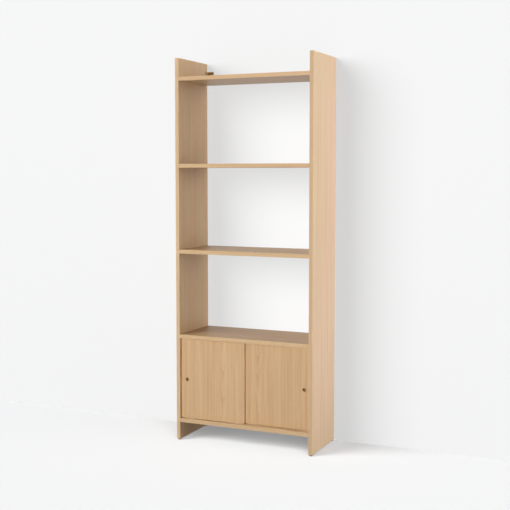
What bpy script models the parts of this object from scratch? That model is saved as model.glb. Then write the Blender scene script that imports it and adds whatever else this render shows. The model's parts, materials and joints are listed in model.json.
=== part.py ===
"""Tall open shelving unit with a two-door sliding cabinet at its foot.

The origin lies on the floor under the middle of the case. +X runs to the
viewer's right, +Y runs back to the wall and +Z runs up. Sizes are in metres.
"""

import math

import bmesh
import bpy
from mathutils import Matrix, Vector

# Case
CASE_WIDTH = 0.756
CASE_DEPTH = 0.325
SIDE_THICKNESS = 0.020
BOARD_THICKNESS = 0.020
BASE_HEIGHT = 0.116
CABINET_PITCH = 0.442
BAY_PITCH = 0.442
SIDE_RISE = 0.096
EDGE_EASE = 0.0008

# Clearance that seated pieces keep to each other
JOINT_GAP = 0.0003

# Glides, nailed into the lower ends of the side panels
GLIDE_DIAMETER = 0.016
GLIDE_HEIGHT = 0.005
GLIDE_ROUNDING = 0.0012
GLIDE_SETBACK = 0.012
GLIDE_NAIL_DIAMETER = 0.003
GLIDE_NAIL_LENGTH = 0.014

# Cabinet back, held in grooves
BACK_THICKNESS = 0.003
BACK_SETBACK = 0.010
GROOVE_DEPTH = 0.006

# Cam fittings, four to a board
CAM_DIAMETER = 0.015
CAM_ABOVE_BOLT = 0.0045
CAM_FROM_END = 0.034
CAM_SLOT_WIDTH = 0.0014
CAM_SLOT_DEPTH = 0.0025
CAM_SLOT_LENGTH = 0.010
CAM_SHELF_SETBACK = 0.050
CAM_BACK_SETBACK = 0.050
CAM_BEHIND_TRACK = 0.022
BOLT_DIAMETER = 0.007
BOLT_THREAD_DIAMETER = 0.005
BOLT_THREAD_LENGTH = 0.011

# Wall brackets and their screws
BRACKET_RISE = 0.013
BRACKET_HEIGHT = 0.040
BRACKET_WALL_LEG = 0.039
BRACKET_PANEL_LEG = 0.021
BRACKET_THICKNESS = 0.002
BRACKET_BEND = 0.0015
BRACKET_CORNER = 0.004
BRACKET_WALL_HOLE = 0.0055
BRACKET_SCREW_SPACING = 0.022
BRACKET_SCREW_SETBACK = 0.012
SCREW_DIAMETER = 0.0035
SCREW_LENGTH = 0.016
SCREW_POINT = 0.003
SCREW_HEAD_DIAMETER = 0.0068
SCREW_HEAD_HEIGHT = 0.0022
SCREW_CROWN_DIAMETER = 0.0037
SCREW_SHOULDER_DIAMETER = 0.0058
SCREW_SHOULDER_HEIGHT = 0.0016
SCREW_RIM_HEIGHT = 0.0008
SCREW_CROSS_LENGTH = 0.0036
SCREW_CROSS_WIDTH = 0.0009
SCREW_CROSS_DEPTH = 0.0012

# Sliding doors, one track behind the other
DOOR_THICKNESS = 0.016
DOOR_RECESS = 0.017
DOOR_SPACING = 0.002
DOOR_END_CLEARANCE = 0.001
DOOR_OVERLAP = 0.008
DOOR_BOTTOM_CLEARANCE = 0.002
DOOR_TOP_CLEARANCE = 0.004

# Door tracks, one section let into the base and one into the cabinet top
TRACK_WALL = 0.0012
TRACK_LIP = 0.003
LOWER_CHANNEL_WIDTH = 0.005
LOWER_CHANNEL_DEPTH = 0.0025
UPPER_CHANNEL_WIDTH = 0.006
UPPER_CHANNEL_DEPTH = 0.009

# Roller carriers in the doors' lower edges
CARRIER_INSET = 0.045
CARRIER_LENGTH = 0.040
CARRIER_THICKNESS = 0.010
CARRIER_ROOF = 0.008
CARRIER_FLANGE = 0.001
CARRIER_FLANGE_SIDE = 0.001
CARRIER_FLANGE_END = 0.006
CARRIER_CHAMFER = 0.001
WHEEL_DIAMETER = 0.015
WHEEL_WIDTH = 0.0040
WHEEL_HUB_DIAMETER = 0.0066
WHEEL_HUB_WIDTH = 0.0044
WHEEL_RIM = 0.0016
WHEEL_WEB = 0.0020
WHEEL_CHAMFER = 0.0006
WHEEL_SIDE_CLEARANCE = 0.0004
WHEEL_ROUND_CLEARANCE = 0.001
AXLE_DIAMETER = 0.003

# Guides in the doors' upper edges
GUIDE_INSET = 0.030
GUIDE_BODY_DIAMETER = 0.008
GUIDE_BODY_LENGTH = 0.016
GUIDE_FLANGE_DIAMETER = 0.012
GUIDE_FLANGE = 0.001
GUIDE_NOSE_DIAMETER = 0.005
GUIDE_ENGAGEMENT = 0.005
GUIDE_ROUNDING = 0.0012

# Finger pulls, flush cups in the doors' faces
PULL_DIAMETER = 0.019
PULL_MOUTH_DIAMETER = 0.0156
PULL_DEPTH = 0.009
PULL_WALL = 0.0008
PULL_RIM = 0.0008
PULL_ROUNDING = 0.0004
PULL_FLOOR_ROUNDING = 0.002
PULL_INSET = 0.034
PULL_RISE = 0.204

# How far a cutter reaches past the face that it opens
OVERCUT = 0.002

# Sides of the round pieces and of the bores that take them
LARGE_ROUND = 24
MEDIUM_ROUND = 16
SMALL_ROUND = 12
HIDDEN_ROUND = 8

# Steps in a rounded edge, a turned rounding, a bracket's corner and its bend
EDGE_STEPS = 2
ROUNDING_STEPS = 2
CORNER_STEPS = 4
BEND_STEPS = 5

# Faces that meet more sharply than this, in degrees, keep a crisp edge
CRISP_ANGLE = 35

# Two places closer than this count as one
SAME_PLACE = 0.000001

# Places that follow from the sizes above
FRONT = -CASE_DEPTH / 2
BACK = CASE_DEPTH / 2
OUTER_FACE = CASE_WIDTH / 2
INNER_FACE = OUTER_FACE - SIDE_THICKNESS
BOARD_END = INNER_FACE - JOINT_GAP
PANEL_BOTTOM = GLIDE_HEIGHT + JOINT_GAP

BOARD_TOPS = {
    "cabinet_base": BASE_HEIGHT,
    "cabinet_top": BASE_HEIGHT + CABINET_PITCH,
    "middle_shelf": BASE_HEIGHT + CABINET_PITCH + BAY_PITCH,
    "upper_shelf": BASE_HEIGHT + CABINET_PITCH + 2 * BAY_PITCH,
    "top_shelf": BASE_HEIGHT + CABINET_PITCH + 3 * BAY_PITCH,
}
CABINET_FLOOR = BOARD_TOPS["cabinet_base"]
CABINET_CEILING = BOARD_TOPS["cabinet_top"] - BOARD_THICKNESS
PANEL_TOP = BOARD_TOPS["top_shelf"] + SIDE_RISE

GROOVE_WIDTH = BACK_THICKNESS + 2 * JOINT_GAP
GROOVE_BACK = BACK - BACK_SETBACK
GROOVE_FRONT = GROOVE_BACK - GROOVE_WIDTH

FRONT_DOOR_Y = FRONT + DOOR_RECESS + DOOR_THICKNESS / 2
REAR_DOOR_Y = FRONT_DOOR_Y + DOOR_THICKNESS + DOOR_SPACING
DOOR_WIDTH = INNER_FACE - DOOR_END_CLEARANCE + DOOR_OVERLAP / 2
DOOR_BOTTOM = CABINET_FLOOR + DOOR_BOTTOM_CLEARANCE
DOOR_TOP = CABINET_CEILING - DOOR_TOP_CLEARANCE
DOOR_HEIGHT = DOOR_TOP - DOOR_BOTTOM
DOOR_CENTRE_X = INNER_FACE - DOOR_END_CLEARANCE - DOOR_WIDTH / 2

WHEEL_BOTTOM = CABINET_FLOOR - LOWER_CHANNEL_DEPTH + JOINT_GAP
AXLE_HEIGHT = WHEEL_BOTTOM + WHEEL_DIAMETER / 2 - DOOR_BOTTOM
WHEEL_SLOT_TOP = AXLE_HEIGHT + WHEEL_DIAMETER / 2 + WHEEL_ROUND_CLEARANCE
WHEEL_SLOT_LENGTH = WHEEL_DIAMETER + 2 * WHEEL_ROUND_CLEARANCE
WHEEL_SLOT_WIDTH = WHEEL_HUB_WIDTH + 2 * WHEEL_SIDE_CLEARANCE
CARRIER_TOP = WHEEL_SLOT_TOP + CARRIER_ROOF

BOLT_DROP = BOARD_THICKNESS / 2
CAM_HEIGHT = BOLT_DROP + CAM_ABOVE_BOLT
TRACK_BACK = REAR_DOOR_Y + UPPER_CHANNEL_WIDTH / 2 + TRACK_WALL + TRACK_LIP
CAM_BACK_Y = BACK - CAM_BACK_SETBACK
CAM_SHELF_Y = FRONT + CAM_SHELF_SETBACK
CAM_CABINET_Y = TRACK_BACK + CAM_BEHIND_TRACK + CAM_DIAMETER / 2

BRACKET_BOTTOM = BOARD_TOPS["top_shelf"] + BRACKET_RISE
BRACKET_FACE = INNER_FACE - JOINT_GAP
SCREW_Y = BACK - BRACKET_SCREW_SETBACK
SCREW_REACH = SCREW_LENGTH - BRACKET_THICKNESS - 2 * JOINT_GAP


def linear(red, green, blue):
    """Return 8-bit sRGB values as the linear colour that a shader takes."""
    def channel(value):
        share = value / 255
        if share <= 0.04045:
            return share / 12.92
        return ((share + 0.055) / 1.055) ** 2.4
    return (channel(red), channel(green), channel(blue), 1.0)


def finish(body, colour, roughness, metallic=0.0):
    """Give a piece its own material."""
    material = bpy.data.materials.new(body.name + "_finish")
    material.use_nodes = True
    shader = material.node_tree.nodes["Principled BSDF"]
    shader.inputs["Base Color"].default_value = colour
    shader.inputs["Roughness"].default_value = roughness
    shader.inputs["Metallic"].default_value = metallic
    body.data.materials.clear()
    body.data.materials.append(material)


def oak_veneer(body):
    """Finish a board in matt lacquered oak."""
    finish(body, linear(212, 178, 142), 0.55)


def brown_hardboard(body):
    """Finish the cabinet's back in bare hardboard."""
    finish(body, linear(186, 152, 116), 0.75)


def brown_plastic(body):
    """Finish a door track in extruded plastic."""
    finish(body, linear(122, 88, 56), 0.45)


def black_plastic(body):
    """Finish a glide in moulded plastic."""
    finish(body, linear(58, 48, 40), 0.5)


def white_nylon(body):
    """Finish a running part of a door in nylon."""
    finish(body, linear(226, 222, 212), 0.4)


def zinc_steel(body):
    """Finish a fastener in zinc-plated steel."""
    finish(body, linear(172, 170, 164), 0.35, 1.0)


def antique_brass(body):
    """Finish a visible metal part in darkened brass."""
    finish(body, linear(150, 116, 66), 0.4, 1.0)


def add_box(bm, low, high):
    """Add a closed box between two opposite corners."""
    low = Vector(low)
    high = Vector(high)
    size = high - low
    place = Matrix.Translation((low + high) / 2) @ Matrix.Diagonal((*size, 1.0))
    bmesh.ops.create_cube(bm, size=1.0, matrix=place)


def bevel_edges(bm, edges, width, steps):
    """Round or chamfer some edges of a helper mesh."""
    bmesh.ops.bevel(
        bm,
        geom=edges,
        offset=width,
        segments=steps,
        profile=0.5,
        affect="EDGES",
    )


def eased_box(low, high):
    """Return a closed box whose edges are all slightly rounded."""
    bm = bmesh.new()
    add_box(bm, low, high)
    bevel_edges(bm, bm.edges[:], EDGE_EASE, EDGE_STEPS)
    return bm


def add_rod(bm, start, end, diameter, sides):
    """Add a closed round rod from one point to another."""
    start = Vector(start)
    end = Vector(end)
    along = end - start
    turn = along.to_track_quat("Z", "Y").to_matrix().to_4x4()
    place = Matrix.Translation((start + end) / 2) @ turn
    bmesh.ops.create_cone(
        bm,
        cap_ends=True,
        segments=sides,
        radius1=diameter / 2,
        radius2=diameter / 2,
        depth=along.length,
        matrix=place,
    )


def add_prism(bm, outline, depth):
    """Add a closed prism: an outline of points, carried along a vector."""
    corners = [bm.verts.new(point) for point in outline]
    face = bm.faces.new(corners)
    grown = bmesh.ops.extrude_face_region(bm, geom=[face])["geom"]
    moved = [item for item in grown if isinstance(item, bmesh.types.BMVert)]
    bmesh.ops.translate(bm, verts=moved, vec=depth)


def turned(profile, axis, sides, bored=False):
    """Spin a profile of (radius, distance along the axis) points into a solid.

    A profile that isn't bored starts and ends on the axis.
    """
    bm = bmesh.new()
    points = [bm.verts.new((radius, 0, distance)) for radius, distance in profile]
    pairs = list(zip(points, points[1:]))
    if bored:
        pairs.append((points[-1], points[0]))
    edges = [bm.edges.new(pair) for pair in pairs]
    bmesh.ops.spin(
        bm,
        geom=points + edges,
        cent=(0, 0, 0),
        axis=(0, 0, 1),
        angle=2 * math.pi,
        steps=sides,
    )
    bmesh.ops.remove_doubles(bm, verts=bm.verts, dist=SAME_PLACE)
    turn = Vector(axis).to_track_quat("Z", "Y").to_matrix()
    bmesh.ops.rotate(bm, verts=bm.verts, cent=(0, 0, 0), matrix=turn)
    return bm


def rounding(centre, radius, start, end, steps=ROUNDING_STEPS):
    """Return points on an arc from one angle to another, in degrees."""
    points = []
    for step in range(steps + 1):
        angle = math.radians(start + (end - start) * step / steps)
        x = centre[0] + radius * math.cos(angle)
        y = centre[1] + radius * math.sin(angle)
        points.append((x, y))
    return points


def add_piece(name, bm, location=(0, 0, 0), parent=None, smooth=False):
    """Put a finished mesh into the scene under its own name."""
    bmesh.ops.recalc_face_normals(bm, faces=bm.faces)
    mesh = bpy.data.meshes.new(name)
    bm.to_mesh(mesh)
    bm.free()
    if smooth:
        mesh.shade_smooth()
        mesh.set_sharp_from_angle(angle=math.radians(CRISP_ANGLE))
    body = bpy.data.objects.new(name, mesh)
    bpy.context.scene.collection.objects.link(body)
    body.location = location
    body.parent = parent
    return body


def add_modifier(body, label, bm, operation):
    """Join or cut a piece with a helper shape given in the piece's own frame."""
    tool = add_piece(body.name + "_" + label, bm, body.location, body.parent)
    tool.hide_render = True
    tool.display_type = "WIRE"
    change = body.modifiers.new(label, "BOOLEAN")
    change.operation = operation
    change.solver = "EXACT"
    change.object = tool
    return tool


def cut(body, label, bm):
    """Take a helper shape out of a piece."""
    return add_modifier(body, label, bm, "DIFFERENCE")


def join(body, label, bm):
    """Fuse a helper shape to a piece."""
    return add_modifier(body, label, bm, "UNION")


def board(name, low, high):
    """Make a flat board with eased edges, in the case's frame."""
    body = add_piece(name, eased_box(low, high))
    oak_veneer(body)
    return body


def cam_rows(name):
    """Return the distances from front to back at which a board is fastened."""
    if name.startswith("cabinet"):
        return {"front": CAM_CABINET_Y, "back": CAM_BACK_Y}
    return {"front": CAM_SHELF_Y, "back": CAM_BACK_Y}


def side_panel(side, sign):
    """Make a side panel with its bolt holes, groove, nail and screw holes."""
    inner = sign * INNER_FACE
    outer = sign * OUTER_FACE
    low = (min(inner, outer), FRONT, PANEL_BOTTOM)
    high = (max(inner, outer), BACK, PANEL_TOP)
    body = board(side + "_side_panel", low, high)

    holes = bmesh.new()
    hole_start = inner - sign * OVERCUT
    hole_end = inner + sign * (BOLT_THREAD_LENGTH + JOINT_GAP)
    hole_diameter = BOLT_THREAD_DIAMETER + 2 * JOINT_GAP
    for name, top in BOARD_TOPS.items():
        height = top - BOLT_DROP
        for y in cam_rows(name).values():
            start = (hole_start, y, height)
            end = (hole_end, y, height)
            add_rod(holes, start, end, hole_diameter, HIDDEN_ROUND)
    screw_end = BRACKET_FACE + SCREW_REACH + 2 * JOINT_GAP
    for height in bracket_screw_heights().values():
        start = (hole_start, SCREW_Y, height)
        end = (sign * screw_end, SCREW_Y, height)
        add_rod(holes, start, end, SCREW_DIAMETER + 2 * JOINT_GAP, SMALL_ROUND)
    nail_top = PANEL_BOTTOM + GLIDE_NAIL_LENGTH + JOINT_GAP
    for y in glide_rows().values():
        start = (glide_x(sign), y, PANEL_BOTTOM - OVERCUT)
        end = (glide_x(sign), y, nail_top)
        add_rod(holes, start, end, GLIDE_NAIL_DIAMETER + 2 * JOINT_GAP, HIDDEN_ROUND)
    cut(body, "holes", holes)

    groove = bmesh.new()
    groove_floor = inner + sign * GROOVE_DEPTH
    near = min(inner - sign * OVERCUT, groove_floor)
    far = max(inner - sign * OVERCUT, groove_floor)
    low = (near, GROOVE_FRONT, CABINET_FLOOR - GROOVE_DEPTH)
    high = (far, GROOVE_BACK, CABINET_CEILING + GROOVE_DEPTH)
    add_box(groove, low, high)
    cut(body, "groove", groove)


def shelf_board(name):
    """Make one of the five boards, bored for its four cam fittings."""
    top = BOARD_TOPS[name]
    bottom = top - BOARD_THICKNESS
    low = (-BOARD_END, FRONT, bottom)
    high = (BOARD_END, BACK, top)
    body = board(name, low, high)

    cam_bores = bmesh.new()
    bolt_bores = bmesh.new()
    for sign in (-1, 1):
        cam_x = sign * (INNER_FACE - CAM_FROM_END)
        for y in cam_rows(name).values():
            start = (cam_x, y, bottom - OVERCUT)
            end = (cam_x, y, bottom + CAM_HEIGHT + JOINT_GAP)
            add_rod(cam_bores, start, end, CAM_DIAMETER + 2 * JOINT_GAP, MEDIUM_ROUND)
            start = (sign * (BOARD_END + OVERCUT), y, top - BOLT_DROP)
            end = (cam_x, y, top - BOLT_DROP)
            diameter = BOLT_DIAMETER + 2 * JOINT_GAP
            add_rod(bolt_bores, start, end, diameter, HIDDEN_ROUND)
    cut(body, "cam_bores", cam_bores)
    cut(body, "bolt_bores", bolt_bores)
    return body


def back_groove(body, face, floor):
    """Cut the groove that takes an edge of the cabinet's back."""
    groove = bmesh.new()
    past = BOARD_END + OVERCUT
    low = (-past, GROOVE_FRONT, min(face, floor))
    high = (past, GROOVE_BACK, max(face, floor))
    add_box(groove, low, high)
    cut(body, "back_groove", groove)


def cabinet_back():
    """Make the thin back, which stands in grooves on all four sides."""
    reach = GROOVE_DEPTH - JOINT_GAP
    bm = bmesh.new()
    low = (-INNER_FACE - reach, GROOVE_FRONT + JOINT_GAP, CABINET_FLOOR - reach)
    high = (INNER_FACE + reach, GROOVE_BACK - JOINT_GAP, CABINET_CEILING + reach)
    add_box(bm, low, high)
    body = add_piece("cabinet_back", bm)
    brown_hardboard(body)


def track_outline(channel_width, channel_depth):
    """Return a twin track's section as (distance from front, depth) points.

    A thin plate lies flush with the board's face. Two channels hang from it,
    one under each door's middle, each with a wall on both sides and a floor.
    """
    half = channel_width / 2
    outer = half + TRACK_WALL
    floor = channel_depth + TRACK_WALL
    front = FRONT_DOOR_Y - outer - TRACK_LIP
    back = REAR_DOOR_Y + outer + TRACK_LIP
    face = [(front, 0)]
    for centre in (FRONT_DOOR_Y, REAR_DOOR_Y):
        face.append((centre - half, 0))
        face.append((centre - half, channel_depth))
        face.append((centre + half, channel_depth))
        face.append((centre + half, 0))
    face.append((back, 0))
    underside = [(back, TRACK_WALL)]
    for centre in (REAR_DOOR_Y, FRONT_DOOR_Y):
        underside.append((centre + outer, TRACK_WALL))
        underside.append((centre + outer, floor))
        underside.append((centre - outer, floor))
        underside.append((centre - outer, TRACK_WALL))
    underside.append((front, TRACK_WALL))
    return face + underside


def door_track(name, face, direction, channel_width, channel_depth):
    """Make a twin track whose depth runs into the board from its face."""
    half_length = INNER_FACE - JOINT_GAP
    outline = []
    for y, depth in track_outline(channel_width, channel_depth):
        outline.append((-half_length, y, face + direction * depth))
    bm = bmesh.new()
    add_prism(bm, outline, (2 * half_length, 0, 0))
    body = add_piece(name, bm)
    brown_plastic(body)


def track_recess(body, face, direction, channel_width, channel_depth):
    """Cut the stepped recess that a track is pressed into."""
    past = BOARD_END + OVERCUT
    outer = channel_width / 2 + TRACK_WALL + JOINT_GAP
    plate_floor = face + direction * (TRACK_WALL + JOINT_GAP)
    channel_floor = plate_floor + direction * channel_depth
    mouth = face - direction * OVERCUT
    front = FRONT_DOOR_Y - outer - TRACK_LIP
    back = REAR_DOOR_Y + outer + TRACK_LIP
    outline = [(front, mouth), (front, plate_floor)]
    for centre in (FRONT_DOOR_Y, REAR_DOOR_Y):
        outline.append((centre - outer, plate_floor))
        outline.append((centre - outer, channel_floor))
        outline.append((centre + outer, channel_floor))
        outline.append((centre + outer, plate_floor))
    outline.append((back, plate_floor))
    outline.append((back, mouth))
    recess = bmesh.new()
    add_prism(recess, [(-past, y, z) for y, z in outline], (2 * past, 0, 0))
    cut(body, "track_recess", recess)


def cabinet_base():
    """Make the cabinet's floor, with its track and the back let into it."""
    body = shelf_board("cabinet_base")
    back_groove(body, CABINET_FLOOR + OVERCUT, CABINET_FLOOR - GROOVE_DEPTH)
    track_recess(body, CABINET_FLOOR, -1, LOWER_CHANNEL_WIDTH, LOWER_CHANNEL_DEPTH)


def cabinet_top():
    """Make the cabinet's ceiling, with its track and the back let into it."""
    body = shelf_board("cabinet_top")
    back_groove(body, CABINET_CEILING - OVERCUT, CABINET_CEILING + GROOVE_DEPTH)
    track_recess(body, CABINET_CEILING, 1, UPPER_CHANNEL_WIDTH, UPPER_CHANNEL_DEPTH)


def glide_rows():
    """Return the glides' distances from front to back."""
    return {"front": FRONT + GLIDE_SETBACK, "back": BACK - GLIDE_SETBACK}


def glide_x(sign):
    """Return the middle of a side panel's thickness, where its glides sit."""
    return sign * (INNER_FACE + OUTER_FACE) / 2


def glide_shape():
    """Turn a glide: a round pad with a softened rim, and its nail above."""
    pad = GLIDE_DIAMETER / 2
    nail = GLIDE_NAIL_DIAMETER / 2
    rim = GLIDE_ROUNDING
    nail_tip = GLIDE_HEIGHT + JOINT_GAP + GLIDE_NAIL_LENGTH
    profile = [(0, 0)]
    profile += rounding((pad - rim, rim), rim, -90, 0)
    profile.append((pad, GLIDE_HEIGHT))
    profile.append((nail, GLIDE_HEIGHT))
    profile.append((nail, nail_tip - nail))
    profile.append((0, nail_tip))
    return turned(profile, (0, 0, 1), MEDIUM_ROUND)


def glides():
    """Put a glide under the front and the back of each side panel."""
    for side, sign in (("left", -1), ("right", 1)):
        for row, y in glide_rows().items():
            name = "glide_" + side + "_" + row
            body = add_piece(name, glide_shape(), (glide_x(sign), y, 0), smooth=True)
            black_plastic(body)


def cam_fitting_mesh():
    """Make a cam fitting once, for a board's left end.

    Its origin is at the side panel's face, on the bolt's axis. The bolt's
    thread goes left into the panel, and its shank goes right into the cam,
    which fills a bore from the board's underside.
    """
    cam = bmesh.new()
    cam_start = (CAM_FROM_END, 0, -BOLT_DROP)
    cam_end = (CAM_FROM_END, 0, -BOLT_DROP + CAM_HEIGHT)
    add_rod(cam, cam_start, cam_end, CAM_DIAMETER, MEDIUM_ROUND)
    body = add_piece("cam_fitting", cam)

    thread = BOLT_THREAD_DIAMETER / 2
    shank = BOLT_DIAMETER / 2
    shank_start = 2 * JOINT_GAP
    profile = [
        (0, -BOLT_THREAD_LENGTH),
        (thread, -BOLT_THREAD_LENGTH + thread / 2),
        (thread, shank_start),
        (shank, shank_start),
        (shank, CAM_FROM_END),
        (0, CAM_FROM_END),
    ]
    tools = [join(body, "bolt", turned(profile, (1, 0, 0), HIDDEN_ROUND))]

    slot = bmesh.new()
    slot_low = (
        CAM_FROM_END - CAM_SLOT_WIDTH / 2,
        -CAM_SLOT_LENGTH / 2,
        -BOLT_DROP - OVERCUT,
    )
    slot_high = (
        CAM_FROM_END + CAM_SLOT_WIDTH / 2,
        CAM_SLOT_LENGTH / 2,
        -BOLT_DROP + CAM_SLOT_DEPTH,
    )
    add_box(slot, slot_low, slot_high)
    tools.append(cut(body, "slot", slot))

    bpy.context.view_layer.update()
    view = bpy.context.evaluated_depsgraph_get()
    mesh = bpy.data.meshes.new_from_object(body.evaluated_get(view))
    for helper in [body] + tools:
        bpy.data.objects.remove(helper)
    return mesh


def cam_fittings():
    """Place four cam fittings on each board, two at each end."""
    pattern = cam_fitting_mesh()
    for name, top in BOARD_TOPS.items():
        for side, sign in (("left", -1), ("right", 1)):
            for row, y in cam_rows(name).items():
                label = name + "_cam_" + side + "_" + row
                body = bpy.data.objects.new(label, pattern.copy())
                bpy.context.scene.collection.objects.link(body)
                body.location = (sign * INNER_FACE, y, top - BOLT_DROP)
                if sign > 0:
                    body.rotation_euler = (0, 0, math.pi)
                zinc_steel(body)
    bpy.data.meshes.remove(pattern)


def bracket_screw_heights():
    """Return the heights of a bracket's two screws."""
    middle = BRACKET_BOTTOM + BRACKET_HEIGHT / 2
    half = BRACKET_SCREW_SPACING / 2
    return {"lower": middle - half, "upper": middle + half}


def bracket_outline(sign):
    """Return a bracket's section, seen from above, bent round one corner."""
    corner_x = BRACKET_FACE
    thick = BRACKET_THICKNESS
    outer_bend = BRACKET_BEND + thick
    bend_x = corner_x - outer_bend
    bend_y = BACK - outer_bend
    outline = [(corner_x - BRACKET_WALL_LEG, BACK)]
    outline += rounding((bend_x, bend_y), outer_bend, 90, 0, BEND_STEPS)
    outline.append((corner_x, BACK - BRACKET_PANEL_LEG))
    outline.append((corner_x - thick, BACK - BRACKET_PANEL_LEG))
    outline += rounding((bend_x, bend_y), BRACKET_BEND, 0, 90, BEND_STEPS)
    outline.append((corner_x - BRACKET_WALL_LEG, BACK - thick))
    return [(sign * x, y, BRACKET_BOTTOM) for x, y in outline]


def wall_bracket(side, sign):
    """Make a bent steel bracket with rounded corners and three holes."""
    bm = bmesh.new()
    add_prism(bm, bracket_outline(sign), (0, 0, BRACKET_HEIGHT))
    panel_end = BACK - BRACKET_PANEL_LEG
    wall_end = sign * (BRACKET_FACE - BRACKET_WALL_LEG)
    corners = []
    for edge in bm.edges:
        start, end = (vert.co for vert in edge.verts)
        if abs(start.z - end.z) > SAME_PLACE:
            continue
        off_panel_end = max(abs(start.y - panel_end), abs(end.y - panel_end))
        off_wall_end = max(abs(start.x - wall_end), abs(end.x - wall_end))
        if min(off_panel_end, off_wall_end) < SAME_PLACE:
            corners.append(edge)
    bevel_edges(bm, corners, BRACKET_CORNER, CORNER_STEPS)
    body = add_piece(side + "_wall_bracket", bm)
    antique_brass(body)

    holes = bmesh.new()
    start_x = sign * (BRACKET_FACE - BRACKET_THICKNESS - OVERCUT)
    end_x = sign * (BRACKET_FACE + OVERCUT)
    for height in bracket_screw_heights().values():
        start = (start_x, SCREW_Y, height)
        end = (end_x, SCREW_Y, height)
        add_rod(holes, start, end, SCREW_DIAMETER + 2 * JOINT_GAP, SMALL_ROUND)
    hole_x = sign * (BRACKET_FACE - BRACKET_WALL_LEG / 2)
    middle = BRACKET_BOTTOM + BRACKET_HEIGHT / 2
    start = (hole_x, BACK - BRACKET_THICKNESS - OVERCUT, middle)
    end = (hole_x, BACK + OVERCUT, middle)
    add_rod(holes, start, end, BRACKET_WALL_HOLE, MEDIUM_ROUND)
    cut(body, "holes", holes)


def bracket_screws(side, sign):
    """Put two pan-head screws through a bracket into its side panel.

    A screw's origin is under its head, on its axis.
    """
    head = SCREW_HEAD_DIAMETER / 2
    shank = SCREW_DIAMETER / 2
    profile = [
        (0, -SCREW_HEAD_HEIGHT),
        (SCREW_CROWN_DIAMETER / 2, -SCREW_HEAD_HEIGHT),
        (SCREW_SHOULDER_DIAMETER / 2, -SCREW_SHOULDER_HEIGHT),
        (head, -SCREW_RIM_HEIGHT),
        (head, 0),
        (shank, 0),
        (shank, SCREW_LENGTH - SCREW_POINT),
        (0, SCREW_LENGTH),
    ]
    arm = SCREW_CROSS_LENGTH / 2
    half = SCREW_CROSS_WIDTH / 2
    start = -SCREW_HEAD_HEIGHT - OVERCUT
    cross = [
        (-half, -arm), (half, -arm), (half, -half), (arm, -half),
        (arm, half), (half, half), (half, arm), (-half, arm),
        (-half, half), (-arm, half), (-arm, -half), (-half, -half),
    ]
    seat = BRACKET_FACE - BRACKET_THICKNESS - JOINT_GAP
    for row, height in bracket_screw_heights().items():
        name = side + "_bracket_screw_" + row
        shape = turned(profile, (sign, 0, 0), SMALL_ROUND)
        place = (sign * seat, SCREW_Y, height)
        body = add_piece(name, shape, place, smooth=True)
        zinc_steel(body)
        recess = bmesh.new()
        outline = [(sign * start, y, z) for y, z in cross]
        depth = sign * (OVERCUT + SCREW_CROSS_DEPTH)
        add_prism(recess, outline, (depth, 0, 0))
        cut(body, "cross", recess)


def door_frame(side, sign, middle_y):
    """Add the empty that carries a door, at the middle of its lower edge."""
    carriage = bpy.data.objects.new(side + "_door_carriage", None)
    bpy.context.scene.collection.objects.link(carriage)
    carriage.location = (sign * DOOR_CENTRE_X, middle_y, DOOR_BOTTOM)
    return carriage


def door_panel(side, sign, carriage):
    """Make a door with its pockets, guide bores and pull bore."""
    half_width = DOOR_WIDTH / 2
    half_thick = DOOR_THICKNESS / 2
    low = (-half_width, -half_thick, 0)
    high = (half_width, half_thick, DOOR_HEIGHT)
    body = add_piece(side + "_door_panel", eased_box(low, high), parent=carriage)
    oak_veneer(body)

    pockets = bmesh.new()
    pocket_half = CARRIER_LENGTH / 2 + JOINT_GAP
    pocket_side = CARRIER_THICKNESS / 2 + JOINT_GAP
    for x in carrier_places().values():
        low = (x - pocket_half, -pocket_side, -OVERCUT)
        high = (x + pocket_half, pocket_side, CARRIER_TOP + JOINT_GAP)
        add_box(pockets, low, high)
    for x in guide_places().values():
        start = (x, 0, DOOR_HEIGHT - GUIDE_BODY_LENGTH - JOINT_GAP)
        end = (x, 0, DOOR_HEIGHT + OVERCUT)
        diameter = GUIDE_BODY_DIAMETER + 2 * JOINT_GAP
        add_rod(pockets, start, end, diameter, SMALL_ROUND)
    cut(body, "pockets", pockets)

    seat = turned(pull_seat_profile(), (0, 1, 0), LARGE_ROUND)
    centre = Vector((sign * (half_width - PULL_INSET), -half_thick, PULL_RISE))
    bmesh.ops.translate(seat, verts=seat.verts, vec=centre)
    cut(body, "pull_seat", seat)


def carrier_places():
    """Return the carriers' places along a door, from its middle."""
    reach = DOOR_WIDTH / 2 - CARRIER_INSET
    return {"left": -reach, "right": reach}


def guide_places():
    """Return the guides' places along a door, from its middle."""
    reach = DOOR_WIDTH / 2 - GUIDE_INSET
    return {"left": -reach, "right": reach}


def pull_seat_profile():
    """Return the stepped bore that takes a finger pull, open to the front."""
    rim = PULL_DIAMETER / 2 + JOINT_GAP
    cup = PULL_MOUTH_DIAMETER / 2 + PULL_WALL + JOINT_GAP
    rim_floor = PULL_RIM + JOINT_GAP
    cup_floor = PULL_DEPTH + PULL_WALL + JOINT_GAP
    return [
        (0, -OVERCUT),
        (rim, -OVERCUT),
        (rim, rim_floor),
        (cup, rim_floor),
        (cup, cup_floor),
        (0, cup_floor),
    ]


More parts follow.
